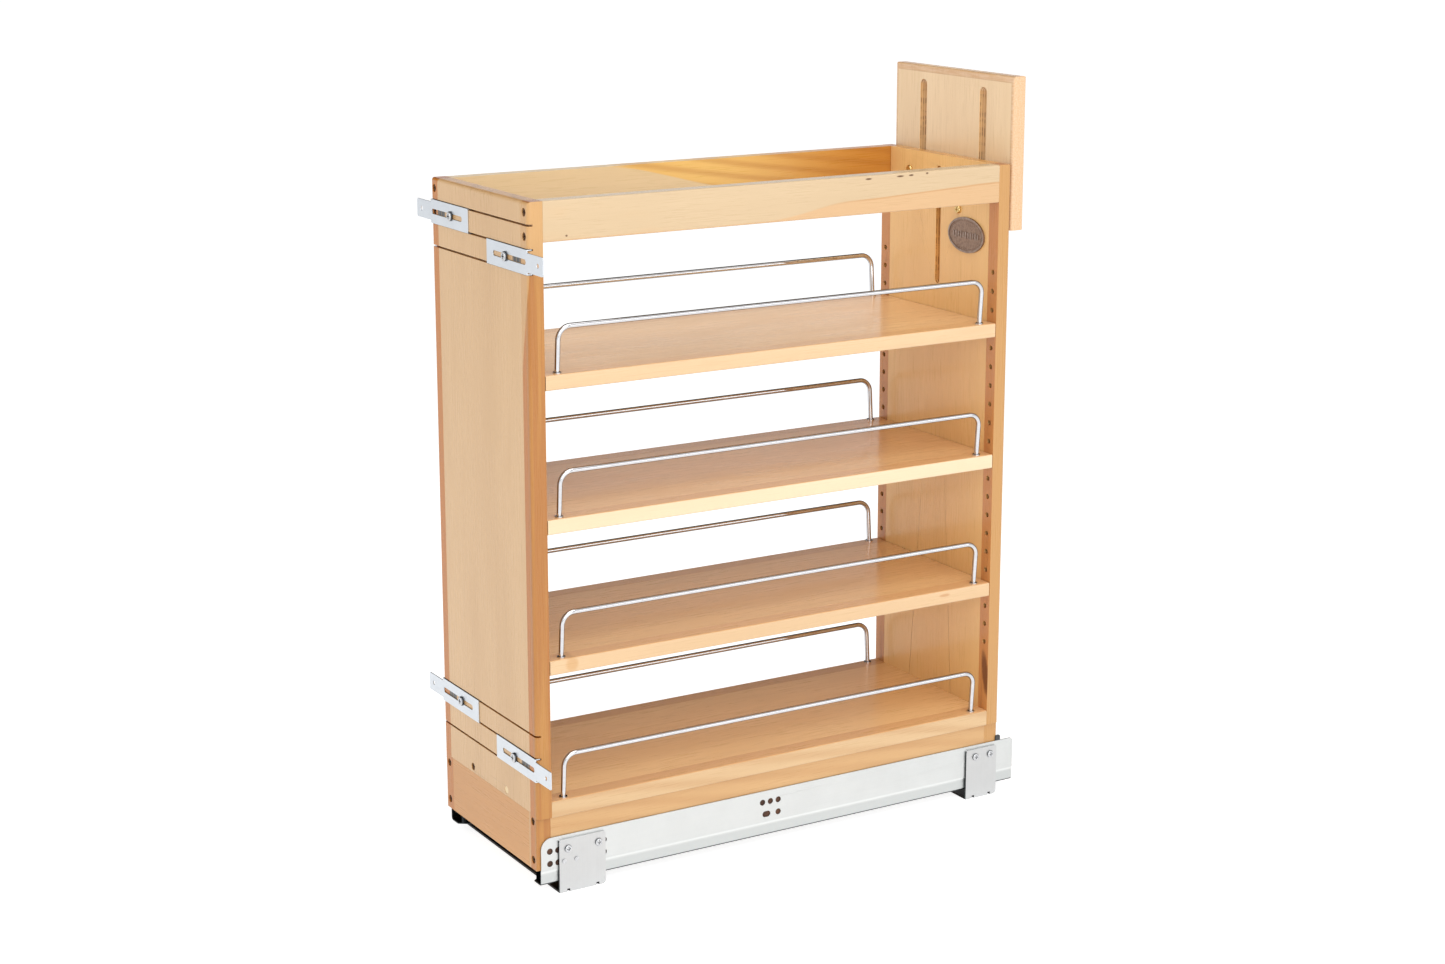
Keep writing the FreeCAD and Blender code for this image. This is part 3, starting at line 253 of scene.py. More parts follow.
def plated_steel(name, light, dark, grain, gloss, marks=None):
    """Zinc-plated sheet with drawn lines along its length and a faint spangle."""
    f = Finish(name)
    drawn = f.noise(f.scaled(stretched(grain, 1400, 14)), 3.0, 0.6)
    spangle = f.add("ShaderNodeTexVoronoi", {"Vector": f.scaled((260, 260, 260)), "Scale": 1.0},
                    feature="SMOOTH_F1").outputs[0]
    cloud = f.noise(f.scaled((22, 22, 22)), 3.0, 0.6)
    colour = f.mix(f.smooth(cloud, 0.3, 0.7), light, dark)
    colour = f.mix(f.smooth(drawn, 0.55, 0.8, 0.0, 0.25), colour, dark)
    if marks:
        colour = marks(f, colour)
    rough = f.smooth(f.math("ADD", drawn, f.math("MULTIPLY", spangle, 0.3)), 0.4, 0.9,
                     gloss - 0.07, gloss + 0.07)
    relief = f.bump(f.math("ADD", drawn, f.math("MULTIPLY", spangle, 0.4)), 0.12, 0.04 * MM)
    return f.surface(Base_Color=colour, Metallic=1.0, Roughness=rough, Normal=relief)


def turned_metal(name, light, dark, gloss, axis=None):
    """Small fasteners: base metal with dirt in patches, and painted shade on the rims of round heads that
    face along axis.
    """
    f = Finish(name)
    dirt = f.noise(f.scaled((700, 700, 700)), 3.0, 0.65)
    colour = f.mix(f.smooth(dirt, 0.35, 0.7), light, dark)
    if axis:
        # Painted shade: faces that turn away from the axis, such as head rims, are darkened.
        facing = f.math("ABSOLUTE", f.axes(f.normal)["xyz".index(axis)])
        colour = f.mix(f.smooth(facing, 0.62, 0.30, 0.0, 0.9), colour, times(dark, (0.1, 0.11, 0.12)))
    rough = f.smooth(dirt, 0.3, 0.7, gloss - 0.08, gloss + 0.1)
    relief = f.bump(dirt, 0.15, 0.05 * MM)
    return f.surface(Base_Color=colour, Metallic=1.0, Roughness=rough, Normal=relief)


def moulded_plastic(name, colour, other, gloss):
    """Fine spark-eroded texture with slight colour drift."""
    f = Finish(name)
    grit = f.noise(f.scaled((2600, 2600, 2600)), 2.0, 0.6)
    drift = f.noise(f.scaled((40, 40, 40)), 2.0, 0.5)
    tint = f.mix(f.smooth(drift, 0.3, 0.7), colour, other)
    rough = f.smooth(grit, 0.3, 0.7, gloss - 0.06, gloss + 0.08)
    return f.surface(Base_Color=tint, Roughness=rough, Normal=f.bump(grit, 0.25, 0.05 * MM))


def badge_bronze(name):
    """Patinated bronze, rubbed bright where the relief stands proud."""
    f = Finish(name)
    y = f.axes()[1]
    patina = f.noise(f.scaled((420, 420, 420)), 4.0, 0.65)
    proud = f.smooth(y, REAR_INNER_Y - 1.5 * MM, REAR_INNER_Y - 1.95 * MM)
    field = f.mix(f.smooth(patina, 0.3, 0.7), (0.32, 0.22, 0.165), (0.23, 0.15, 0.11))
    rubbed = f.mix(f.smooth(patina, 0.3, 0.7), (0.36, 0.28, 0.235), (0.26, 0.19, 0.155))
    rough = f.smooth(patina, 0.3, 0.7, 0.34, 0.5)
    return f.surface(Base_Color=f.mix(proud, field, rubbed), Metallic=0.85, Roughness=rough,
                     Normal=f.bump(patina, 0.2, 0.06 * MM))


def plain_floor(name):
    """Lit white sweep, so that the ground stays pale away from the lamps."""
    f = Finish(name)
    cloud = f.noise(f.scaled((1.5, 1.5, 1.5)), 3.0, 0.5)
    tint = f.mix(f.smooth(cloud, 0.3, 0.7), (0.50, 0.50, 0.50), (0.47, 0.47, 0.47))
    grit = f.noise(f.scaled((250, 250, 250)), 2.0, 0.5)
    return f.surface(Base_Color=tint, Roughness=0.7, Specular_IOR_Level=0.2,
                     Emission_Color=(1.0, 1.0, 1.0), Emission_Strength=FLOOR_GLOW,
                     Normal=f.bump(grit, 0.05, 0.1 * MM))


# ---- mesh helpers ----------------------------------------------------------------------------
BEVEL_SEGMENTS = 2
BEVEL_ANGLE = 35


def mesh_piece(name, build, material, body):
    """New piece from a function that fills a bmesh in metres, riding on a body."""
    mesh = bmesh.new()
    build(mesh)
    bmesh.ops.recalc_face_normals(mesh, faces=mesh.faces)
    data = bpy.data.meshes.new(name)
    mesh.to_mesh(data)
    mesh.free()
    data.materials.append(material)
    piece = bpy.data.objects.new(name, data)
    bpy.context.scene.collection.objects.link(piece)
    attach(piece, body)
    return piece


def lathe(mesh, centre, axis, profile, steps=48):
    """Solid of revolution: profile lists (distance along the axis, radius)."""
    turn = axis.to_track_quat("Z", "Y").to_matrix().to_4x4()
    place = Matrix.Translation(centre) @ turn
    rings = []
    for along, radius in profile:
        ring = []
        for step in range(steps):
            angle = 2 * math.pi * step / steps
            point = Vector((radius * math.cos(angle), radius * math.sin(angle), along))
            ring.append(mesh.verts.new(place @ point))
        rings.append(ring)
    for first, second in zip(rings, rings[1:]):
        for step in range(steps):
            following = (step + 1) % steps
            mesh.faces.new((first[step], first[following], second[following], second[step]))
    mesh.faces.new(rings[0][::-1])
    mesh.faces.new(rings[-1])


def soften(node, width):
    """Fine rounding on the hard edges of a shown node."""
    weld = node.modifiers.new("weld", "WELD")
    weld.merge_threshold = 0.01 * MM
    bevel = node.modifiers.new("edges", "BEVEL")
    bevel.width = width
    bevel.segments = BEVEL_SEGMENTS
    bevel.limit_method = "ANGLE"
    bevel.angle_limit = math.radians(BEVEL_ANGLE)
    bevel.use_clamp_overlap = False
    bevel.miter_outer = "MITER_ARC"
    smooth = node.modifiers.new("normals", "WEIGHTED_NORMAL")
    smooth.weight = 100


def dress(node_name, material, width=0.0):
    """Give a CAD node its finish, and soft edges where width is given."""
    node = NODES[node_name]
    node.data.materials.clear()
    node.data.materials.append(material)
    if width:
        soften(node, width)


# ---- studio ----------------------------------------------------------------------------------
def place_camera():
    data = bpy.data.cameras.new("camera")
    data.lens = CAMERA_LENS
    data.shift_y = CAMERA_SHIFT_Y
    data.clip_start = 0.05
    data.clip_end = 100.0
    camera = bpy.data.objects.new("camera", data)
    bpy.context.scene.collection.objects.link(camera)
    azimuth, elevation = math.radians(CAMERA_AZIMUTH), math.radians(CAMERA_ELEVATION)
    back = Vector((math.sin(azimuth) * math.cos(elevation),
                   -math.cos(azimuth) * math.cos(elevation), math.sin(elevation)))
    camera.location = CAMERA_PLACE
    camera.rotation_mode = "QUATERNION"
    camera.rotation_quaternion = (-back).to_track_quat("-Z", "Y")
    bpy.context.scene.camera = camera


def lay_floor():
    data = bpy.data.meshes.new("floor")
    corners = [(sx * FLOOR_HALF, sy * FLOOR_HALF, 0) for sx, sy in ((-1, -1), (1, -1), (1, 1), (-1, 1))]
    data.from_pydata(corners, [], [(0, 1, 2, 3)])
    data.materials.append(plain_floor("studio_floor"))
    floor = bpy.data.objects.new("floor", data)
    floor.location.z = -FLOOR_DROP
    bpy.context.scene.collection.objects.link(floor)


def softbox(name, place, aim, size, power):
    data = bpy.data.lights.new(name, "AREA")
    data.shape = "RECTANGLE"
    data.size, data.size_y = size
    data.energy = power
    lamp = bpy.data.objects.new(name, data)
    bpy.context.scene.collection.objects.link(lamp)
    lamp.location = place
    lamp.rotation_mode = "QUATERNION"
    lamp.rotation_quaternion = (aim - lamp.location).to_track_quat("-Z", "Y")


def light_world():
    """White walls, with a dark ceiling behind the object that draws fine lines on the chrome."""
    world = bpy.data.worlds.new("studio")
    bpy.context.scene.world = world
    world.use_nodes = True
    tree = world.node_tree
    tree.nodes.clear()
    place = tree.nodes.new("ShaderNodeTexCoord")
    split = tree.nodes.new("ShaderNodeSeparateXYZ")
    tree.links.new(place.outputs["Generated"], split.inputs[0])
    masks = []
    for axis, low, high in (("Z", 0.24, 0.34), ("X", 0.22, 0.06)):
        ramp = tree.nodes.new("ShaderNodeMapRange")
        ramp.interpolation_type = "SMOOTHSTEP"
        ramp.inputs["From Min"].default_value = low
        ramp.inputs["From Max"].default_value = high
        tree.links.new(split.outputs[axis], ramp.inputs["Value"])
        masks.append(ramp.outputs[0])
    band = tree.nodes.new("ShaderNodeMath")
    band.operation = "MULTIPLY"
    tree.links.new(masks[0], band.inputs[0])
    tree.links.new(masks[1], band.inputs[1])
    mix = tree.nodes.new("ShaderNodeMix")
    mix.data_type = "RGBA"
    tree.links.new(band.outputs[0], mix.inputs[0])
    mix.inputs[6].default_value = (1.0, 1.0, 1.0, 1.0)
    mix.inputs[7].default_value = (0.03, 0.03, 0.03, 1.0)
    background = tree.nodes.new("ShaderNodeBackground")
    background.inputs["Strength"].default_value = SKY_STRENGTH
    tree.links.new(mix.outputs[2], background.inputs["Color"])
    output = tree.nodes.new("ShaderNodeOutputWorld")
    tree.links.new(background.outputs[0], output.inputs[0])


def build_studio():
    bpy.context.scene.view_settings.view_transform = "Standard"
    place_camera()
    lay_floor()
    light_world()
    middle = Vector((0, 0, 0.35))
    softbox("side", Vector((2.3, -0.5, 1.2)), middle, (2.0, 1.6), 28)
    softbox("front", Vector((-0.5, -2.3, 1.3)), middle, (1.8, 1.8), 15)
    softbox("strip", Vector((2.3, 1.4, 0.95)), middle, (1.2, 0.4), 5)
    softbox("top", Vector((0.5, -0.1, 2.4)), middle, (1.8, 1.8), 24)


# ---- finishes on the frame -------------------------------------------------------------------
VENEER = 1.4 * MM
END_GRAIN = 0.8
EDGE_WIDTH = 0.2 * MM
LIP_SIDE = 4.5 * MM
LIP_TOP = 6.5 * MM
THREAD_PITCH = 3.0 * MM
SLOT_SCREW_X = 83 * MM
SLOT_SCREW_HALF = 13 * MM
SAPWOOD_SWEEP_Z = (0.470, 0.640)
WEDGE_Z = 0.130
WEDGE_SLANT = 0.16
APRON_BORDER_DROP = 37 * MM
APRON_PIN_KNOTS = ((0.0826, 0.6485, 4.0), (0.119, 0.6488, 4.5), (0.1315, 0.6490, 3.0),
                   (0.150, 0.6497, 1.6), (-0.2394, 0.6196, 1.3))
HEARTWOOD_START_Y = -0.105
HEARTWOOD_FULL_Y = 0.060
HEARTWOOD_DROP = 29 * MM
EDGE_KNOT = (-0.2395, 0.2225)
EDGE_BLEMISH = (0.1806, 0.2235)
KNOT_TAN = (0.50, 0.27, 0.10)
BLEMISH_TAN = (0.45, 0.22, 0.09)

BIRCH = (0.53, 0.335, 0.163)
BIRCH_PALE = (0.71, 0.53, 0.33)
BIRCH_WARM = (0.75, 0.46, 0.185)
SHELF_BIRCH = (0.75, 0.46, 0.22)
CREAM = (0.52, 0.385, 0.235)
CREAM_FAR = (0.59, 0.435, 0.245)
TAN = (0.54, 0.335, 0.17)
EDGE_MAPLE = (0.60, 0.415, 0.24)
EDGE_PALE = (0.68, 0.55, 0.37)
EDGE_DARK = (0.55, 0.375, 0.205)
SKIRT_MAPLE = (0.53, 0.32, 0.145)
GRAIN_BROWN = (0.40, 0.20, 0.075)
BASE_MAPLE = (0.50, 0.235, 0.062)
PINK_BROWN = (0.41, 0.140, 0.014)
ORANGE = (0.355, 0.142, 0.033)
GOLD = (0.50, 0.285, 0.115)
SAP_GOLD = (0.455, 0.24, 0.082)
HONEY = (0.66, 0.40, 0.11)
DEEP_ORANGE = (0.47, 0.18, 0.018)
REAR_STILE_BROWN = (0.52, 0.215, 0.062)
KNOT_BROWN = (0.10, 0.04, 0.012)
HEART_BROWN = (0.15, 0.045, 0.012)
GLUE_BROWN = (0.35, 0.20, 0.09)
LIP_LIGHT = (0.63, 0.43, 0.265)
LIP_DARK = (0.57, 0.35, 0.185)
FILLER = (0.64, 0.48, 0.26)
UNDERSIDE_SHADE = (0.64, 0.39, 0.185)
STRIP_TOP = (0.70, 0.395, 0.175)
STEEL_DARK = (0.018, 0.022, 0.024)
HOLE_SHADE = (0.05, 0.014, 0.006)


def right_stile_marks(f, tint):
    """Sapwood at the top sweeps off the stile lower down; the outer side is orange with streaks."""
    x, _, z = f.axes()
    sway = f.noise(f.scaled(stretched("z", 40, 3)), 2.0, 0.5)
    wobble = f.math("MULTIPLY", f.math("SUBTRACT", sway, 0.5), 6 * MM)
    outer = f.smooth(f.axes(f.normal)[0], 0.5, 0.9)
    streak = f.noise(f.scaled(stretched("z", 170, 4)), 2.0, 0.5)
    side = f.mix(f.smooth(streak, 0.42, 0.62), ORANGE, times(ORANGE, (1.15, 1.32, 1.4)))
    edge = f.math("ADD", x, wobble)
    orange = f.smooth(edge, CORE_HALF + 6 * MM, CORE_HALF + 9 * MM, 0.0, 0.85)
    tint = f.mix(f.math("MAXIMUM", orange, outer), tint, side)
    border = f.smooth(z, *SAPWOOD_SWEEP_Z, CORE_HALF - 1 * MM, HALF_WIDTH + 5 * MM)
    above = f.math("SUBTRACT", border, f.math("ADD", edge, f.math("MULTIPLY", outer, 2 * MM)))
    return f.mix(f.smooth(above, -1 * MM, 1 * MM), tint, GOLD)


def shaded_pin_holes(f, tint):
    """Painted shade inside the shelf-pin holes, which run into the stile from its inner face."""
    x, y, z = f.axes()
    inside = f.smooth(f.math("ABSOLUTE", x), HALF_WIDTH - 1.0 * MM, HALF_WIDTH - 2.0 * MM)
    for place, start, end in ((y, REAR_INNER_Y + 0.3 * MM, REAR_INNER_Y + 0.8 * MM),
                              (y, REAR_Y - 0.5 * MM, REAR_Y - 1.0 * MM),
                              (z, TOP_Z - 20 * MM, TOP_Z - 22 * MM)):
        inside = f.math("MULTIPLY", inside, f.smooth(place, start, end))
    return f.mix(inside, tint, HOLE_SHADE)


def slot_screw_marks(f, tint):
    """Spare screws let flush into the board, seen through the slots of the door brackets."""
    x, y, z = f.axes()
    threads = f.smooth(f.math("PINGPONG", x, THREAD_PITCH), 0.5 * MM, 1.0 * MM, 0.75, 1.0)
    for side, sign in SIDES:
        for level in ("upper", "lower"):
            low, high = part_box(f"door_bracket_{level}_{side}")
            along = f.math("ABSOLUTE", f.math("SUBTRACT", x, sign * SLOT_SCREW_X))
            up = f.math("ABSOLUTE", f.math("SUBTRACT", z, (low.z + high.z) / 2))
            inside = f.math("MULTIPLY", f.smooth(along, SLOT_SCREW_HALF, SLOT_SCREW_HALF - 0.5 * MM),
                            f.smooth(up, 2.4 * MM, 2.0 * MM))
            inside = f.math("MULTIPLY", inside, f.smooth(y, FRONT_Y + 1.0 * MM, FRONT_Y + 0.5 * MM))
            tint = f.mix(f.math("MULTIPLY", inside, threads), tint, STEEL_DARK)
    return tint


def rear_stile_marks(f, tint):
    """The outer side is golden sapwood, and a wedge of heartwood shows near the bottom."""
    tint = shaded_pin_holes(f, tint)
    x, y, z = f.axes()
    outer = f.smooth(f.math("ABSOLUTE", f.axes(f.normal)[0]), 0.4, 0.7)
    tint = f.mix(outer, tint, SAP_GOLD)
    slant = f.math("ADD", x, f.math("MULTIPLY", f.math("SUBTRACT", z, WEDGE_Z), WEDGE_SLANT))
    inner = f.smooth(f.axes(f.normal)[1], -0.4, -0.7)
    centre = (HALF_WIDTH - 4 * MM, WEDGE_Z)
    wedge = knot(f, tint, (slant, z), centre, (6 * MM, 26 * MM), HEART_BROWN, 0.9)
    return f.mix(inner, tint, wedge)


def near_apron_marks(f, tint):
    """Cream sapwood over a tan lower border that rises towards the rear, with a few pin knots."""
    _, y, z = f.axes()
    low = TOP_Z - APRON_BORDER_DROP
    wobble = f.math("MULTIPLY", f.noise(f.scaled(stretched("y", 60, 7)), 2.0, 0.5), 3 * MM)
    rise = f.math("ADD", f.smooth(y, -0.035, 0.065, 0.0, 12 * MM), f.smooth(y, 0.06, 0.24, 0.0, 6 * MM))
    height = f.math("SUBTRACT", f.math("SUBTRACT", z, low), f.math("ADD", rise, wobble))
    tan = f.smooth(height, 0.6 * MM, -1.2 * MM, 0.0, 0.9)
    tint = f.mix(tan, tint, TAN)
    line = f.smooth(f.math("ABSOLUTE", height), 1.3 * MM, 0.1 * MM, 0.0, 0.75)
    tint = f.mix(f.math("MULTIPLY", line, f.smooth(y, 0.0, 0.1)), tint, times(TAN, (0.85, 0.70, 0.5)))
    blush = f.smooth(f.noise(f.scaled(stretched("y", 25, 9), (4, 7, 2)), 2.0, 0.6), 0.5, 0.7)
    tint = f.mix(f.math("MULTIPLY", blush, f.smooth(y, -0.05, -0.2, 0.0, 0.4)), tint, TAN)
    for place_y, place_z, length in APRON_PIN_KNOTS:
        tint = knot(f, tint, (y, z), (place_y, place_z), (length * MM, 1.0 * MM), KNOT_BROWN, 0.95)
    return tint


def far_apron_marks(f, tint):
    """Heartwood comes in from the top along a slant and deepens towards the rear."""
    _, y, z = f.axes()
    wobble = f.math("MULTIPLY", f.noise(f.scaled(stretched("y", 50, 6)), 2.0, 0.5), 3 * MM)
    border = f.smooth(y, HEARTWOOD_START_Y, HEARTWOOD_FULL_Y, TOP_Z, TOP_Z - HEARTWOOD_DROP)
    above = f.math("SUBTRACT", f.math("ADD", z, wobble), border)
    lines = growth_lines(f, "y", 3.0, 7 * MM, 0.16)
    heart = f.mix(f.smooth(y, 0.0, 0.22), HONEY, DEEP_ORANGE)
    heart = f.mix(f.math("MULTIPLY", lines, 0.35), heart, times(DEEP_ORANGE, (0.72, 0.56, 0.4)))
    mask = f.math("MULTIPLY", f.smooth(above, -0.5 * MM, 1.2 * MM), f.smooth(y, -0.10, -0.07))
    return f.mix(f.math("MULTIPLY", mask, 0.95), tint, heart)


def grain_lines(f, tint):
    """Wavy brown year rings on the boards round the base."""
    lines = growth_lines(f, "y", 5.0, 8 * MM, 0.10)
    return f.mix(f.math("MULTIPLY", lines, 0.30), tint, GRAIN_BROWN)


def shaded_underside(f, tint):
    """Painted shade: the underside of a shelf is made darker than its top."""
    down = f.smooth(f.axes(f.normal)[2], -0.6, -0.9)
    return f.mix(down, tint, UNDERSIDE_SHADE)


def strip_top(f, tint):
    """The top of an edge strip has the same warm tone as the shelf beside it."""
    return f.mix(f.smooth(f.axes(f.normal)[2], 0.7, 0.9), tint, STRIP_TOP)


def bottom_edge_marks(f, tint):
    """Year rings on the side of the strip under its warm top."""
    return strip_top(f, grain_lines(f, tint))


def lower_edge_marks(f, tint):
    """A knot near the front end and a small blemish near the rear."""
    tint = strip_top(f, tint)
    x, y, z = f.axes()
    right = f.smooth(x, 0.0, 0.05)
    marked = knot(f, tint, (y, z), EDGE_KNOT, (7 * MM, 8 * MM), KNOT_TAN, 0.6)
    marked = knot(f, marked, (y, z), EDGE_BLEMISH, (7 * MM, 1.6 * MM), BLEMISH_TAN, 0.7)
    return f.mix(right, tint, marked)


def finish_front():
    plies = (FRONT_Y, 0)
    dress("front_panel", wood("birch_front", BIRCH, "z", 1.0, plies=plies, marks=slot_screw_marks),
          EDGE_WIDTH)
    dress("front_base_board", wood("maple_base", BASE_MAPLE, "x", 2.0), EDGE_WIDTH)
    dress("front_stile_left", wood("maple_stile_fl", PINK_BROWN, "z", 3.0), EDGE_WIDTH)
    dress("front_stile_right", wood("maple_stile_fr", PINK_BROWN, "z", 4.0, marks=right_stile_marks),
          EDGE_WIDTH)


def finish_rear():
    plies = (REAR_INNER_Y, 0)
    dress("rear_panel", wood("birch_rear", BIRCH_WARM, "z", 5.0, plies=plies), EDGE_WIDTH)
    for side, _ in SIDES:
        dress("rear_stile_" + side, wood("maple_rear_stile_" + side, REAR_STILE_BROWN, "z", 6.0,
                                         marks=rear_stile_marks), EDGE_WIDTH)


def finish_aprons():
    dress("top_apron_right", wood("maple_apron_right", CREAM, "y", 8.0, 0.03,
                                  marks=near_apron_marks), EDGE_WIDTH)
    dress("top_apron_left", wood("maple_apron_left", CREAM_FAR, "y", 9.0, 0.03,
                                 marks=far_apron_marks), EDGE_WIDTH)


def finish_shelves():
    for index, name in enumerate(("upper", "middle", "lower", "bottom")):
        seed = 11.0 + 2.3 * index
        marks = {"lower": lower_edge_marks, "bottom": bottom_edge_marks}.get(name, strip_top)
        # Painted light: lower shelves get a lighter top colour to make up for the shade from the shelves
        # above.
        top = times(SHELF_BIRCH, (1 + 0.04 * index, 1 + 0.06 * index, 1 + 0.06 * index))
        edge = {"middle": EDGE_PALE, "bottom": EDGE_DARK}.get(name, EDGE_MAPLE)
        dress(name + "_shelf", wood("birch_" + name, top, "y", seed, 0.05, marks=shaded_underside), EDGE_WIDTH)
        dress(name + "_shelf_edges", wood("maple_edge_" + name, edge, "y", seed + 1, marks=marks),
              EDGE_WIDTH)
    for side, sign in SIDES:
        dress("side_skirt_" + side, wood("maple_skirt_" + side, SKIRT_MAPLE, "y", 21.0 + sign,
                                          marks=grain_lines), EDGE_WIDTH)
    dress("base_panel", wood("birch_base", BIRCH, "y", 23.0), EDGE_WIDTH)


def finish_extension():
    plies = (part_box("extension_panel")[0].y, 62 * MM)
    dress("extension_panel", wood("birch_extension", BIRCH_PALE, "z", 25.0, plies=plies, marks=lipping),
          EDGE_WIDTH)


# ---- metal and plastic -----------------------------------------------------------------------
ZINC = (0.60, 0.615, 0.61)
EAR_ZINC = (0.54, 0.545, 0.545)
DOOR_ZINC = (0.63, 0.665, 0.705)
STEEL_LIGHT = (0.60, 0.61, 0.62)
STEEL_SHADE = (0.42, 0.43, 0.45)


def painted_edge_shade(axis, tint):
    """Painted shade on the sheet's edge faces that face along one axis, standing in for their dark
    reflections.
    """
    def marks(f, colour):
        facing = f.math("ABSOLUTE", f.axes(f.normal)["xyz".index(axis)])
        return f.mix(f.smooth(facing, 0.7, 0.9), colour, tint)
    return marks


def bracket_marks(f, colour):
    """Painted shade on the edges that face along y, and painted shade that makes the cross plate near black
    under the cart.
    """
    colour = painted_edge_shade("y", (0.05, 0.06, 0.06))(f, colour)
    x = f.axes()[0]
    # Painted shade: the cross plate inside the ears is made near black, as the shade under the cart leaves
    # it.
    inside = f.smooth(f.math("ABSOLUTE", x), 98.9 * MM, 98.7 * MM)
    return f.mix(inside, colour, (0.012, 0.007, 0.005))


def slide_marks(f, colour):
    """Painted highlight along the line where the web steps in, painted shade on the foot below it, and
    painted shade that makes the inside of the slides near black.
    """
    x, _, z = f.axes()
    painted_highlight_band = f.smooth(f.math("ABSOLUTE", f.math("SUBTRACT", z, 23.2 * MM)), 1.6 * MM, 0.6 * MM)
    painted_shade_foot = f.smooth(z, 22 * MM, 20 * MM)
    colour = f.mix(painted_shade_foot, colour, times(ZINC, (0.86, 0.87, 0.87)))
    colour = f.mix(painted_highlight_band, colour, times(ZINC, (1.12, 1.12, 1.12)))
    # Painted shade: faces inside the outer webs are made near black.
    inside = f.smooth(f.math("ABSOLUTE", x), 98.05 * MM, 97.95 * MM)
    return f.mix(inside, colour, (0.025, 0.03, 0.033))


def finish_metal():
    bright = chrome("chrome_wire")
    for level in ("upper", "middle", "lower", "bottom"):
        for side, _ in SIDES:
            dress(f"{level}_rail_{side}", bright)
    slide = plated_steel("zinc_slide", ZINC, times(ZINC, (0.96, 0.96, 0.96)), "y", 0.38, slide_marks)
    bracket = plated_steel("zinc_bracket", EAR_ZINC, times(EAR_ZINC, (0.96, 0.96, 0.96)), "z", 0.42,
                           bracket_marks)
    # The door brackets get painted shade on their edge faces that face up and down.
    door = plated_steel("zinc_door", DOOR_ZINC, times(DOOR_ZINC, (0.94, 0.94, 0.94)), "x", 0.36,
                        painted_edge_shade("z", (0.25, 0.26, 0.27)))
    for side, _ in SIDES:
        for member in ("cabinet_profile", "intermediate_profile", "drawer_profile"):
            dress(f"{member}_{side}", slide, 0.12 * MM)
        for level in ("upper", "lower"):
            dress(f"door_bracket_{level}_{side}", door, 0.2 * MM)
    dress("front_floor_bracket", bracket, 0.1 * MM)
    dress("rear_floor_bracket", bracket, 0.1 * MM)
    for name, axis in (("bracket_screws", "x"), ("bracket_rivets", "x"), ("door_clamp_screws", "y")):
        dress(name, turned_metal("zinc_" + name, STEEL_LIGHT, STEEL_SHADE, 0.3, axis))
    dress("shelf_support_wires", turned_metal("zinc_wire", STEEL_LIGHT, STEEL_SHADE, 0.3))
    brass = turned_metal("brass", (0.78, 0.57, 0.25), (0.62, 0.42, 0.16), 0.3)
    dress("brass_screws", brass)
    dress("guide_bolt", brass)
    dress("wood_screws", turned_metal("bronzed_screw", (0.16, 0.08, 0.04), (0.08, 0.04, 0.02), 0.4))
    dress("badge", badge_bronze("badge_bronze"))


def finish_plastic():
    black = moulded_plastic("black_plastic", (0.025, 0.025, 0.027), (0.035, 0.035, 0.037), 0.42)
    grey = moulded_plastic("grey_plastic", (0.24, 0.25, 0.26), (0.28, 0.29, 0.30), 0.42)
    nylon = moulded_plastic("white_nylon", (0.78, 0.77, 0.73), (0.72, 0.71, 0.67), 0.38)
    for side, _ in SIDES:
        dress("locking_device_" + side, grey, 0.25 * MM)
        dress("release_lever_" + side, black, 0.25 * MM)
        for level in ("lower", "upper"):
            dress(f"{level}_carriage_{side}", nylon)
    dress("soft_close_units", grey, 0.2 * MM)
    dress("soft_close_strikers", black, 0.2 * MM)
    dress("rear_caps", black, 0.2 * MM)


# ---- fine detail -----------------------------------------------------------------------------
PLUG_R = 3.55
WEB_STEEL = 1.2 * MM
SHADE_SHEET = 0.1 * MM
SHADE_SHEET_Z = (26 * MM, 52 * MM)


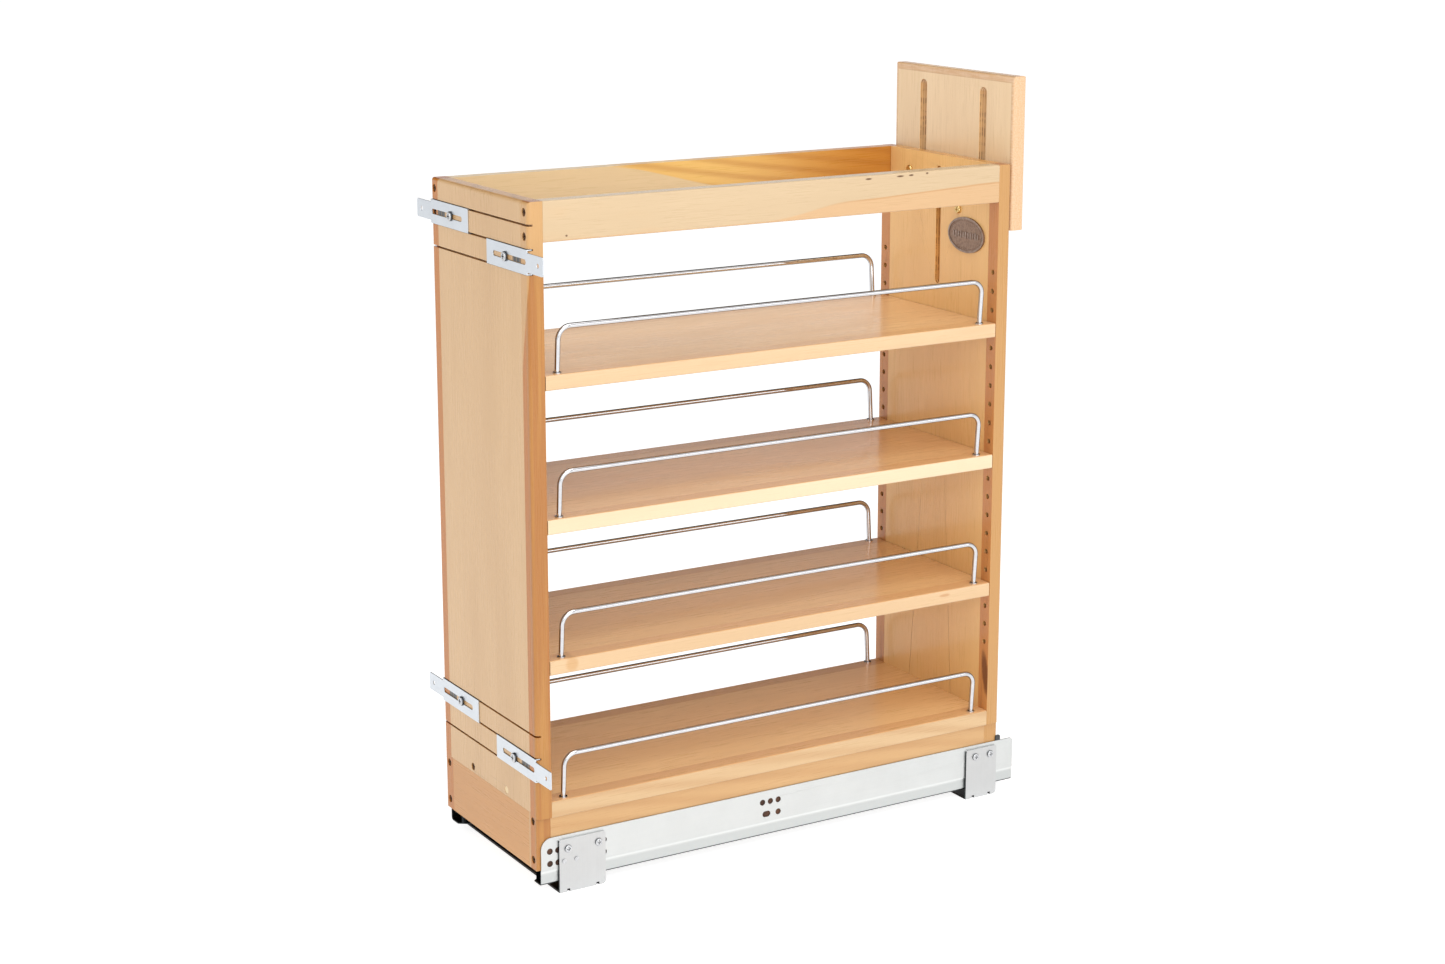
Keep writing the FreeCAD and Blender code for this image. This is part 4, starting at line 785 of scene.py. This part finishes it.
def web_shade_sheets():
    """Dark strips of painted shade on the inner faces of the webs, seen through the round holes."""
    shade_sheet = moulded_plastic("hole_shade_sheet", (0.09, 0.035, 0.015), (0.035, 0.013, 0.006), 0.8)
    for side, sign in SIDES:
        low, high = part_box("cabinet_profile_" + side)
        outer = max(abs(low.x), abs(high.x))
        centre = Vector((sign * (outer - WEB_STEEL - SHADE_SHEET / 2 - 0.01 * MM), (low.y + high.y) / 2,
                         (SHADE_SHEET_Z[0] + SHADE_SHEET_Z[1]) / 2))
        size = (SHADE_SHEET, high.y - low.y - 6 * MM, SHADE_SHEET_Z[1] - SHADE_SHEET_Z[0], 1)

        def build(mesh):
            bmesh.ops.create_cube(mesh, size=1.0, matrix=Matrix.Translation(centre) @ Matrix.Diagonal(size))
        mesh_piece("web_shade_sheet_" + side, build, shade_sheet, "base")


def filler_plug():
    """Wood filler over one of the shelf screws in the front board."""
    centre = Vector((36.5 * MM, FRONT_Y + 0.15 * MM, 86 * MM))
    paste = wood("wood_filler", FILLER, "z", 31.0)

    def build(mesh):
        r = PLUG_R * MM
        lathe(mesh, centre, Y, [(0.1 * MM, 0.6 * r), (0.0, 0.9 * r), (0.05 * MM, r), (0.7 * MM, r)])
    mesh_piece("filler_plug", build, paste, "carrier")


def badge_relief(metal):
    """Ring of beads round a plain ribbed bar, in the well of the badge."""
    low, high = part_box("badge")
    middle = (low + high) / 2
    half_x, half_z = (high.x - low.x) / 2, (high.z - low.z) / 2
    floor_y, bead_r = REAR_INNER_Y - 1.4 * MM, 0.55 * MM
    count = 44

    def build(mesh):
        for index in range(count):
            turn = 2 * math.pi * index / count
            place = Vector((middle.x + (half_x - 3.6 * MM) * math.cos(turn), floor_y,
                            middle.z + (half_z - 3.6 * MM) * math.sin(turn)))
            lathe(mesh, place, -Y, [(-0.1 * MM, bead_r), (0.25 * MM, bead_r), (0.45 * MM, bead_r * 0.6),
                                    (0.52 * MM, bead_r * 0.2)], 10)
        for index in range(-5, 6):
            place = Vector((middle.x + index * 4.0 * MM, floor_y - 0.2 * MM, middle.z))
            size = (2.4 * MM, 0.7 * MM, (5.0 if index % 2 else 7.0) * MM, 1)
            bmesh.ops.create_cube(mesh, size=1.0, matrix=Matrix.Translation(place) @ Matrix.Diagonal(size))
    mesh_piece("badge_relief", build, metal, "carrier")


build_studio()
finish_front()
finish_rear()
finish_aprons()
finish_shelves()
finish_extension()
finish_metal()
finish_plastic()
filler_plug()
web_shade_sheets()
badge_relief(bpy.data.materials["badge_bronze"])
